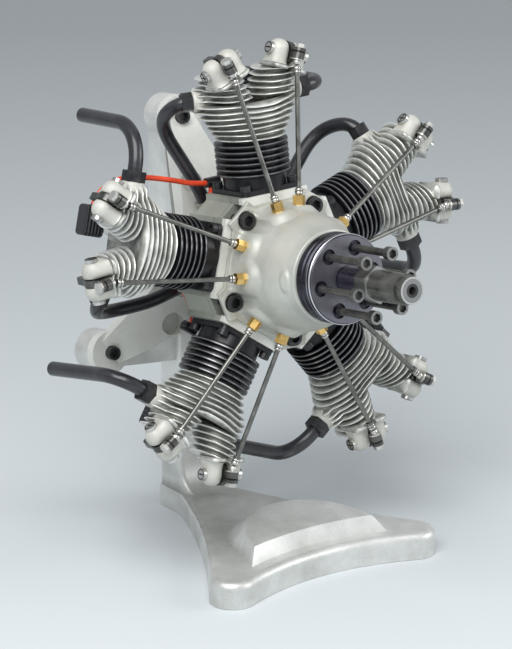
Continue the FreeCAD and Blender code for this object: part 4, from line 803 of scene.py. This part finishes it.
def ear_post(side):
    """Domed post beside the rocker: a turned profile, cut flat where the rocker and the pin's head sit."""
    rise = np.linspace(0.0, math.pi / 2.0, DOME_STEPS)
    foot_radius, foot_out = np.transpose(EAR_FOOT)
    radius = np.concatenate([foot_radius, EAR_RADIUS * np.cos(rise)])
    out = np.concatenate([foot_out, EAR_RADIUS * np.sin(rise)])
    angle = round_angles(POST_STEPS)
    x = side * np.clip(EAR_OFFSET + radius[:, None] * np.cos(angle), SLOT_HALF, PIN_HALF)
    y = radius[:, None] * np.sin(angle)
    points = np.stack([x, y, out[:, None] + 0.0 * x], axis=-1)
    tones = np.where(out < -7.2, 0.6, np.where(out < -6.7, 0.3, MATTE))
    return on_tower(points, 1), np.repeat(tones[:, None], POST_STEPS, axis=1)


def boss(root, mouth, radius, bore, bore_depth):
    """Round boss along the line from root to mouth, with a softened edge and a bore in its end."""
    line = np.subtract(mouth, root)
    length = np.linalg.norm(line)
    well = length - bore_depth
    profile = ((0.0, 0.0), (0.0, radius), (length - 0.6, radius), (length - 0.15, radius - 0.2),
               (length, radius - 0.6), (length, bore), (well, bore), (well, 0.0))
    points = turned_ring(root, line / length, profile, POST_STEPS, (0.0, 0.0, 1.0))
    return points, np.full(points.shape[:2], MATTE)


def mirrored(place):
    """A place on the other side of the cylinder."""
    return (-place[0], place[1], place[2])


def head_surfaces():
    """(points, tones, flipped) of every surface of the top cylinder's head."""
    surfaces = [(*joined_fins(), False)]
    for side in (1, -1):
        port = (EXHAUST_ROOT, EXHAUST_PORT) if side > 0 else (mirrored(INLET_ROOT), mirrored(INLET_PORT))
        parts = ((*tower_fins(*port), False), (*ear_post(1), False), (*ear_post(-1), True))
        for points, tones, turned in parts:
            shown = points * np.array([side, 1.0, 1.0])
            surfaces.append((shown, tones, turned != (side < 0)))
    surfaces.append((*boss(INLET_ROOT, INLET_PORT, PORT_BOSS, PORT_BORE, PORT_DEPTH), True))
    surfaces.append((*boss(EXHAUST_ROOT, EXHAUST_PORT, PORT_BOSS, PORT_BORE, PORT_DEPTH), True))
    surfaces.append((*boss(PLUG_ROOT, PLUG_MOUTH, PLUG_BOSS, 1.0, 2.0), True))
    return surfaces


def joined_surfaces(surfaces):
    """One list of points, faces and tones from several grids that close in their columns."""
    points, faces, tones, start = [], [], [], 0
    for grid, tone, flipped in surfaces:
        quads = grid_faces(grid.shape[0], grid.shape[1], close_columns=True)
        faces.append((quads[:, ::-1] if flipped else quads) + start)
        points.append(grid.reshape(-1, 3))
        tones.append(np.asarray(tone).ravel())
        start += grid.shape[0] * grid.shape[1]
    return np.concatenate(points), np.concatenate(faces), np.concatenate(tones)


def head_finish():
    """Cast heads: rims rubbed pale and with a painted highlight, valleys darker with oil and oxide and with
    painted shade, all over a fine cast grain.
    """
    finish = Finish("cast heads")
    rim = finish.add("ShaderNodeAttribute", attribute_name="rim").outputs["Fac"]
    grain = finish.noise(1100.0)
    clouds = finish.noise(120.0)
    # Rims pale as wear and as painted highlight; valleys dark as oil and oxide and as painted shade.
    edge = finish.span(finish.math("ADD", rim, finish.span(clouds, 0.3, 0.7, -0.2, 0.2)), 0.35, 0.95)
    matte = finish.span(rim, 1.05, 1.3)
    cast = finish.cloudy(clouds, (0.22, 0.225, 0.20), (0.33, 0.335, 0.305))
    fin_wear_shade_and_highlight = finish.mix(edge, cast, (0.90, 0.905, 0.865))
    dusty = finish.cloudy(clouds, (0.50, 0.495, 0.45), (0.60, 0.595, 0.545))
    return finish.made(Base_Color=finish.mix(matte, fin_wear_shade_and_highlight, dusty),
                       Metallic=finish.span(matte, 0.0, 1.0, 0.6, 0.25),
                       Roughness=finish.mix(matte, finish.span(edge, 0.0, 1.0, 0.5, 0.3), (0.6, 0.6, 0.6)),
                       Normal=finish.relief(grain, 0.5, 0.09, finish.relief(clouds, 0.2, 0.4)))


# Smooth tubes, the rods' collars and the front cover

def flowing_path(points, stations):
    """A quadratic B-spline drawn towards the points, with its ends at the first and the last.

    On each span a point is (1 - m)((1 - l) p0 + l p1) + m ((1 - h) p1 + h p2), with shares l, h and m of
    the way between its knots.
    """
    points = np.asarray(points, float)
    spans = len(points) - 2
    place = np.linspace(0.0, spans, stations)
    index = np.minimum(place.astype(int), spans - 1)
    knots = np.clip(np.arange(-2, spans + 3), 0, spans).astype(float)
    a, b, c = knots[index + 1], knots[index + 2], knots[index + 3]
    d = knots[np.minimum(index + 4, len(knots) - 1)]
    low = np.where(c > a, (place - a) / np.where(c > a, c - a, 1.0), 0.0)
    high = np.where(d > b, (place - b) / np.where(d > b, d - b, 1.0), 0.0)
    mid = (place - b) / (c - b)
    first = points[index] * (1.0 - low)[:, None] + points[index + 1] * low[:, None]
    second = points[index + 1] * (1.0 - high)[:, None] + points[index + 2] * high[:, None]
    return first * (1.0 - mid)[:, None] + second * mid[:, None]


SQUARE_TO = (0.35, -0.2, 0.9)


def flowing_tube(points, radius, stations=90, around=26):
    """A closed round tube along the flowing path, whose section keeps a side square to SQUARE_TO."""
    path = flowing_path(points, stations)
    ways = unit(np.gradient(path, axis=0))
    sides = unit(np.cross(ways, SQUARE_TO))
    path = np.concatenate([path[:1], path, path[-1:]])
    ways = np.concatenate([ways[:1], ways, ways[-1:]])
    sides = np.concatenate([sides[:1], sides, sides[-1:]])
    thick = np.full(len(path), radius)
    thick[0] = thick[-1] = 0.0
    return tube_points(path, ways, sides, thick, around)


def inlet_route(index):
    """Route of one inlet pipe, as the part draws it for the top cylinder."""
    mouth = np.array(INLET_PORT)
    way = unit(mouth - INLET_ROOT)
    angle = math.radians(90.0 + SOCKET_ANGLE[index])
    inward = np.array([math.cos(angle), 0.0, math.sin(angle)])
    rear = np.array([0.0, 1.0, 0.0])
    bow = INLET_BOW[index]
    back_turn = mouth + np.array([-7.0 - bow, SOCKET_Y + 4.5 - bow / 2.0 - mouth[1], -12.2 - bow / 2.0])
    return [mouth, mouth + way * 9.4, back_turn, inward * (SOCKET_REACH + 19.5) + rear * (SOCKET_Y + 2.0),
            inward * (SOCKET_REACH + 9.5) + rear * SOCKET_Y, inward * (SOCKET_REACH - 2.5) + rear * SOCKET_Y]


# Collars at a pushrod's ends: where they start from the guide and the ball, and their turned profile
COLLAR_LOW = 2.9
COLLAR_HIGH = 2.3
COLLAR = ((0.0, 0.0), (0.0, 1.7), (0.2, 2.05), (1.5, 2.05), (1.7, 1.7), (2.0, 1.7), (2.0, 2.0), (2.9, 2.0),
          (3.1, 1.7), (3.1, 0.0))


def rod_line(side):
    """Guide centre, ball centre and unit way of a pushrod on the top cylinder."""
    guide = np.array([side * GUIDE_SIDE, GUIDE_Y[side], GUIDE_RADIAL])
    ball = on_tower(BALL_PLACE, side)
    return guide, ball, unit(ball - guide)


COVER_COLUMNS = 720
BELL_STATIONS = 92
BOSS_FACE = -1.3
COUNTERBORE = 4.75
SCREW_SEAT = 1.4
FACED_BACK = -18.0
FACED_FLAT = 5.2
FACED_SOFT = 2.4
# Section of the cover from the joint face over the bell, then round the nose and back inside: radius and y;
# the flange's radii are shares of the way from the drum to its edge, the first few kept and the rest refined
FLANGE_ROWS = ((1.0, 1.5), (1.0, -0.2), (0.985, -0.55), (0.95, -0.7), (0.6, -0.75), (0.3, -1.2),
               (0.12, -2.2))
FLANGE_KEPT = 4
FLANGE_FROM = 0.94
FLANGE_STATIONS = 28
BELL_ROWS = ((33.5, -4.0), (33.1, -7.0), (32.6, -10.0), (32.0, -13.0), (30.8, -19.0), (29.6, -25.0),
             (28.7, -28.0), (25.4, -37.0), (24.6, -40.0), (24.2, -42.0))
NOSE_ROWS = ((23.8, -42.4), (8.0, -42.4), (8.0, -36.0), (20.0, -34.0), (26.0, -24.0), (28.0, -8.0),
             (28.0, 1.5))
MOUND_FLAT = 4.7
MOUND_FOOT = 10.5
DRUM = 33.5
DECK_EDGE = 35.2
CORNER_EDGE = 41.5
CORNER_CIRCLE = 36.0
CORNER_TURN = math.radians(23.0)
CORNER_RAMP = math.radians(2.2)


def flange_edge(angle):
    """Radius of the flange's edge: decks between cut corners, joined by short ramps."""
    step = math.pi / CYLINDERS
    near = np.abs((angle + step) % (2.0 * step) - step)
    deck = DECK_EDGE / np.cos(near)
    corner = CORNER_EDGE / np.cos(step - near)
    share = np.clip((near - CORNER_TURN) / CORNER_RAMP, 0.0, 1.0)
    return deck * (1.0 - share) + corner * share


def eased(value):
    """Smooth step from 1 at 0 to 0 at 1: 1 - 3v^2 + 2v^3."""
    value = np.clip(value, 0.0, 1.0)
    return 1.0 - 3.0 * value ** 2 + 2.0 * value ** 3


def cover_surface():
    """The cover as one skin: flange, bell and nose, raised to flat mounds under the guides and the screws.

    A point at distance d from a mound's axis moves along it by s(d) times what it lacks to the top.
    """
    angle = round_angles(COVER_COLUMNS)
    edge = flange_edge(angle)
    given_shares, given_levels = np.transpose(FLANGE_ROWS)
    fine = np.linspace(FLANGE_FROM, given_shares[-1], FLANGE_STATIONS)
    shares = np.concatenate([given_shares[:FLANGE_KEPT], fine])
    levels = np.concatenate([given_levels[:FLANGE_KEPT], np.interp(-fine, -given_shares, given_levels)])
    flange = DRUM + shares[:, None] * (edge - DRUM)
    bell = np.array(BELL_ROWS)
    length = np.concatenate([[0.0], np.cumsum(np.linalg.norm(np.diff(bell, axis=0), axis=1))])
    fine = np.linspace(0.0, length[-1], BELL_STATIONS)
    smooth = np.stack([np.interp(fine, length, bell[:, 0]), np.interp(fine, length, bell[:, 1])], axis=-1)
    turned = np.concatenate([smooth, NOSE_ROWS])
    radius = np.concatenate([flange, np.repeat(turned[:, :1], COVER_COLUMNS, axis=1)])
    level = np.repeat(np.concatenate([levels, turned[:, 1]])[:, None], COVER_COLUMNS, axis=1)
    points = np.stack([radius * np.sin(angle), level, radius * np.cos(angle)], axis=-1)
    shown = len(shares) + BELL_STATIONS
    skin = points[2:shown]
    for index in range(CYLINDERS):
        for side in (-1, 1):
            guide, _, way = rod_line(side)
            skin = raised(skin, on_cylinder(guide, index), on_cylinder(way, index))
        turn = (2.0 * index + 1.0) * math.pi / CYLINDERS
        screw = np.array([CORNER_CIRCLE * math.sin(turn), BOSS_FACE, CORNER_CIRCLE * math.cos(turn)])
        skin = faced(skin, screw)
    points[2:shown] = skin + raised_oval(skin)
    return points


def raised(points, guide, way):
    """Points lifted along way to the foot of a guide, round its axis; only upwards."""
    along = (points - guide) @ way
    apart = np.linalg.norm(points - guide - along[..., None] * way, axis=-1)
    lack = np.clip(-GUIDE_HALF - along, 0.0, 12.0)
    near = (along > -GUIDE_HALF - 14.0) & (along < -GUIDE_HALF + 6.0)
    share = eased((apart - MOUND_FLAT) / (MOUND_FOOT - MOUND_FLAT))
    return points + (near * share * lack)[..., None] * way


# Raised oval on the bell: turn from the top, distance along the shaft, half length and half width
OVAL_TURN = math.radians(274.0)
OVAL_Y = -36.7
OVAL_LONG = 7.5
OVAL_WIDE = 3.6
OVAL_PROUD = 0.9


def raised_oval(points):
    """Outward step of an oval swelling: height s(e), where e runs from its flat middle to its edge."""
    turn = np.arctan2(points[..., 0], points[..., 2]) - OVAL_TURN
    turn = (turn + math.pi) % (2.0 * math.pi) - math.pi
    along = turn * np.hypot(points[..., 0], points[..., 2]) / OVAL_LONG
    across = (points[..., 1] - OVAL_Y) / OVAL_WIDE
    share = OVAL_PROUD * eased((np.hypot(along, across) - 0.45) / 0.55)
    return share[..., None] * np.array([math.sin(OVAL_TURN), -0.5, math.cos(OVAL_TURN)])


def faced(points, screw):
    """Flange and bell brought to one face round a corner screw, with a well for its head.

    What stands proud is cut back steeply at the counterbore's edge; what lies behind is built up softly.
    """
    apart = np.hypot(points[..., 0] - screw[0], points[..., 2] - screw[2])
    proud = points[..., 1] < screw[1]
    cut = eased((apart - COUNTERBORE - 0.2) / 0.7)
    built = eased((apart - FACED_FLAT) / FACED_SOFT)
    share = np.where(proud, cut, built)
    behind = points[..., 1] > FACED_BACK
    moved = points.copy()
    moved[..., 1] += share * behind * (screw[1] - points[..., 1])
    sunk = (apart < COUNTERBORE - 0.2) & behind
    moved[..., 1] += sunk * (SCREW_SEAT - moved[..., 1])
    return moved


# Stage settings and operators

class StageSettings(bpy.types.PropertyGroup):
    floor_colour: bpy.props.FloatVectorProperty(
        name="Floor colour", description="Colour of the paper sweep", subtype="COLOR", size=3,
        min=0.0, max=1.0, default=(0.62, 0.66, 0.68))
    view_turn: bpy.props.FloatProperty(
        name="View turn", description="Angle of the camera round the engine",
        default=math.radians(-35.52), unit="ROTATION")
    view_rise: bpy.props.FloatProperty(
        name="View rise", description="Angle of the camera above the floor",
        default=math.radians(19.93), unit="ROTATION")
    view_distance: bpy.props.FloatProperty(
        name="View distance", description="From the camera to the point it looks at",
        default=2.689, unit="LENGTH")
    key_power: bpy.props.FloatProperty(
        name="Key lamp", description="Power of the large overhead lamp", default=40.0, min=0.0,
        unit="POWER")
    fill_power: bpy.props.FloatProperty(
        name="Fill lamp", description="Power of the side lamp", default=14.0, min=0.0,
        unit="POWER")


class SpringSettings(bpy.types.PropertyGroup):
    wire: bpy.props.FloatProperty(
        name="Wire", description="Thickness of a valve spring's wire", default=0.9 * MM, unit="LENGTH")
    radius: bpy.props.FloatProperty(
        name="Radius", description="Mean radius of a valve spring", default=3.1 * MM, unit="LENGTH")
    turns: bpy.props.FloatProperty(
        name="Turns", description="Turns of wire in a valve spring", default=6.0)


class ENGINE_OT_castings(bpy.types.Operator):
    """Finish the stand, the mount, the case and its covers"""
    bl_idname = "engine.castings"
    bl_label = "Castings"

    def execute(self, context):
        dress(["stand", "engine_mount", "crankcase", "rear_cover", "carburettor"])
        points = cover_surface()
        faces = grid_faces(points.shape[0], points.shape[1], close_rows=True, close_columns=True)
        cover = piece("front_cover_skin", points, faces, "engine", "case_casting")
        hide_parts("front_cover")
        return {"FINISHED"}


class ENGINE_OT_heads(bpy.types.Operator):
    """Finish the finned heads and the barrels"""
    bl_idname = "engine.heads"
    bl_label = "Heads and barrels"

    def execute(self, context):
        dress(["cylinder_barrels"])
        points, faces, tones = joined_surfaces(head_surfaces())
        for index in range(CYLINDERS):
            head = piece("cast_head_%d" % (index + 1), on_cylinder(points, index), faces, "engine",
                         "head_casting", tones)
            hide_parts("cylinder_heads")
        return {"FINISHED"}


class ENGINE_OT_valve_gear(bpy.types.Operator):
    """Finish the rockers, pins, pushrods, guides and valves"""
    bl_idname = "engine.valve_gear"
    bl_label = "Valve gear"

    def execute(self, context):
        dress(["tappet_guides"] + nodes_with("_rocker_", "_pushrod_", "_valve_"))
        dress(["rocker_pins"], "pin_steel")
        for index in range(CYLINDERS):
            for kind, side in SIDES:
                guide, ball, way = rod_line(side)
                for end, start, along in (("low", guide + way * COLLAR_LOW, way),
                                          ("high", ball - way * COLLAR_HIGH, -way)):
                    tube_piece("%s_%s_collar_%d" % (kind, end, index + 1),
                               on_cylinder(turned_ring(start, along, COLLAR), index),
                               "%s_pushrod_%d" % (kind, index + 1), "bright_steel")
        return {"FINISHED"}


class ENGINE_OT_springs(bpy.types.Operator):
    """Wind the valve springs in their pockets"""
    bl_idname = "engine.springs"
    bl_label = "Valve springs"

    def execute(self, context):
        settings = context.scene.engine_springs
        wire = settings.wire / MM / 2.0
        coil = coil_points(settings.radius / MM, wire, POCKET_FLOOR, SPRING_TOP, settings.turns, 8, 20)
        coil[..., 1] += VALVE_ARM
        for index in range(CYLINDERS):
            for kind, side in SIDES:
                spring = tube_piece("%s_spring_%d" % (kind, index + 1),
                                    on_cylinder(on_tower(coil, side), index), "engine", "bright_steel",
                                    flipped=side < 0)
                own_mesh(spring)
        return {"FINISHED"}


class ENGINE_OT_pipes(bpy.types.Operator):
    """Finish the inlet and exhaust pipes and their nuts"""
    bl_idname = "engine.pipes"
    bl_label = "Pipes"

    def execute(self, context):
        dress(["exhaust_pipes", "pipe_nuts"])
        for index in range(CYLINDERS):
            points = on_cylinder(flowing_tube(inlet_route(index), PIPE_RADIUS), index)
            tube = tube_piece("inlet_tube_%d" % (index + 1), points, "engine", "black_pipe")
            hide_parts("inlet_pipes")
        return {"FINISHED"}


class ENGINE_OT_crank(bpy.types.Operator):
    """Finish the crankshaft, bearings, pistons, prop driver and throttle"""
    bl_idname = "engine.crank"
    bl_label = "Crank and driver"

    def execute(self, context):
        dress(["crankshaft", "main_bearings", "throttle_barrel"] + nodes_with("prop_", "piston_"))
        return {"FINISHED"}


class ENGINE_OT_screws(bpy.types.Operator):
    """Finish the socket screws"""
    bl_idname = "engine.screws"
    bl_label = "Screws"

    def execute(self, context):
        dress(["engine_screws", "barrel_screws"])
        return {"FINISHED"}


def lead_curve(name, route):
    """A plain lead as a smooth spline through the pull of its route's points."""
    curve = bpy.data.curves.new(name, "CURVE")
    curve.dimensions = "3D"
    curve.bevel_depth = LEAD_DIAMETER * MM / 2.0
    curve.bevel_resolution = 4
    curve.resolution_u = 12
    curve.use_fill_caps = True
    spline = curve.splines.new("NURBS")
    points = row(route)
    spline.points.add(len(points) - 1)
    spline.points.foreach_set("co", np.c_[points, np.ones(len(points))].ravel())
    spline.order_u = 3
    spline.use_endpoint_u = True
    curve.materials.append(finish_for("red_lead"))
    return show(name, curve)


class ENGINE_OT_plug_leads(bpy.types.Operator):
    """Run the plug leads between the cap and the connectors"""
    bl_idname = "engine.plug_leads"
    bl_label = "Plug leads"

    def execute(self, context):
        dress(["glow_plugs", "plug_caps", "lead_connectors"])
        for name, route, length in (("first_lead", FIRST_LEAD, FIRST_LEAD_LENGTH),
                                    ("second_lead", SECOND_LEAD, SECOND_LEAD_LENGTH)):
            lead = lead_curve(name, route)
            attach(lead, "engine")
            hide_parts("glow_lead")
        return {"FINISHED"}


# Stage, in metres: what the lamps and the camera look at, and the camera's lens in millimetres
LAMP_TARGET = Vector((0.0, 0.0, 0.14))
VIEW_CENTRE = Vector((-0.0178, -0.0003, 0.1313))
LENS = 292.1
FLOOR_HALF = 4.0
FLOOR_POINTS = 9
FLOOR_DROP = 0.0002


def faced_along(way):
    """The turn that brings the front of a lamp or camera, its -Z, to look along way."""
    return way.to_track_quat("-Z", "Y").to_euler()


def area_lamp(name, place, size, power):
    """A soft rectangular lamp that looks at the engine."""
    lamp = bpy.data.lights.new(name, "AREA")
    lamp.shape = "RECTANGLE"
    lamp.size, lamp.size_y = size
    lamp.energy = power
    shown = show(name, lamp)
    shown.location = place
    shown.rotation_euler = faced_along(LAMP_TARGET - Vector(place))


def paper_finish(settings):
    """Pale paper with painted light and shade: a little brighter than its colour in front of the engine, and
    darker far behind it.
    """
    finish = Finish("paper sweep")
    x, y = finish.apart(finish.place)[:2]
    ahead = finish.math("ADD", finish.both(x, -math.sin(settings.view_turn)),
                        finish.both(y, math.cos(settings.view_turn)))
    # Painted light and shade: the paper brightens in front of the engine and darkens far behind it, standing
    # in for the lamps' falloff.
    far = finish.span(ahead, -0.35, 0.95)
    painted_light_near_colour = tuple(min(1.0, 1.06 * value) for value in settings.floor_colour)
    painted_shade_far_colour = tuple(0.56 * value for value in settings.floor_colour)
    return finish.made(Base_Color=finish.mix(far, painted_light_near_colour, painted_shade_far_colour), Roughness=0.9,
                       Specular_IOR_Level=0.1,
                       Normal=finish.relief(finish.noise(400.0, 2.0, 0.55), 0.05, 0.05))


class ENGINE_OT_stage(bpy.types.Operator):
    """Set the floor, the lamps, the world and the camera"""
    bl_idname = "engine.stage"
    bl_label = "Stage"

    def execute(self, context):
        settings = context.scene.engine_stage
        scene = context.scene
        side = np.linspace(-FLOOR_HALF, FLOOR_HALF, FLOOR_POINTS)
        x, y = np.meshgrid(side, side, indexing="ij")
        points = np.stack([x, y, np.full_like(x, -FLOOR_DROP)], axis=-1)
        mesh = bpy.data.meshes.new("floor")
        mesh.from_pydata(points.reshape(-1, 3).tolist(), [],
                         grid_faces(FLOOR_POINTS, FLOOR_POINTS)[:, ::-1].tolist())
        mesh.materials.append(paper_finish(settings))
        show("floor", mesh)

        area_lamp("key lamp", (-0.9, -0.7, 1.7), (1.5, 1.5), settings.key_power)
        area_lamp("fill lamp", (1.5, -1.2, 0.9), (1.2, 1.0), settings.fill_power)

        world = bpy.data.worlds.new("studio")
        scene.world = world
        world.use_nodes = True
        shade = world.node_tree.nodes["Background"]
        shade.inputs["Color"].default_value = (0.80, 0.83, 0.86, 1.0)
        shade.inputs["Strength"].default_value = 0.6

        scene.view_settings.view_transform = "Standard"
        lens = bpy.data.cameras.new("camera")
        lens.lens = LENS
        lens.sensor_width = 36.0
        lens.clip_end = 50.0
        camera = show("camera", lens)
        turn, rise = settings.view_turn, settings.view_rise
        back = Vector((math.sin(turn) * math.cos(rise), -math.cos(turn) * math.cos(rise), math.sin(rise)))
        camera.location = VIEW_CENTRE + back * settings.view_distance
        camera.rotation_euler = faced_along(-back)
        scene.camera = camera
        return {"FINISHED"}


OPERATORS = (ENGINE_OT_castings, ENGINE_OT_heads, ENGINE_OT_valve_gear, ENGINE_OT_springs, ENGINE_OT_pipes,
             ENGINE_OT_crank, ENGINE_OT_screws, ENGINE_OT_plug_leads, ENGINE_OT_stage)


class ENGINE_PT_panel(bpy.types.Panel):
    """Steps and settings of the engine's looks"""
    bl_idname = "ENGINE_PT_panel"
    bl_label = "Radial engine"
    bl_space_type = "VIEW_3D"
    bl_region_type = "UI"
    bl_category = "Radial engine"

    def draw(self, context):
        for operator in OPERATORS:
            self.layout.operator(operator.bl_idname)
        for group in (context.scene.engine_stage, context.scene.engine_springs):
            for key in group.__annotations__:
                self.layout.prop(group, key)


CLASSES = (StageSettings, SpringSettings, *OPERATORS, ENGINE_PT_panel)


def register():
    for kind in CLASSES:
        bpy.utils.register_class(kind)
    bpy.types.Scene.engine_stage = bpy.props.PointerProperty(type=StageSettings)
    bpy.types.Scene.engine_springs = bpy.props.PointerProperty(type=SpringSettings)


def unregister():
    del bpy.types.Scene.engine_springs
    del bpy.types.Scene.engine_stage
    for kind in reversed(CLASSES):
        bpy.utils.unregister_class(kind)


def main():
    register()
    bpy.ops.engine.castings()
    bpy.ops.engine.heads()
    bpy.ops.engine.valve_gear()
    bpy.ops.engine.springs()
    bpy.ops.engine.pipes()
    bpy.ops.engine.crank()
    bpy.ops.engine.screws()
    bpy.ops.engine.plug_leads()
    bpy.ops.engine.stage()


if __name__ == "__main__":
    main()
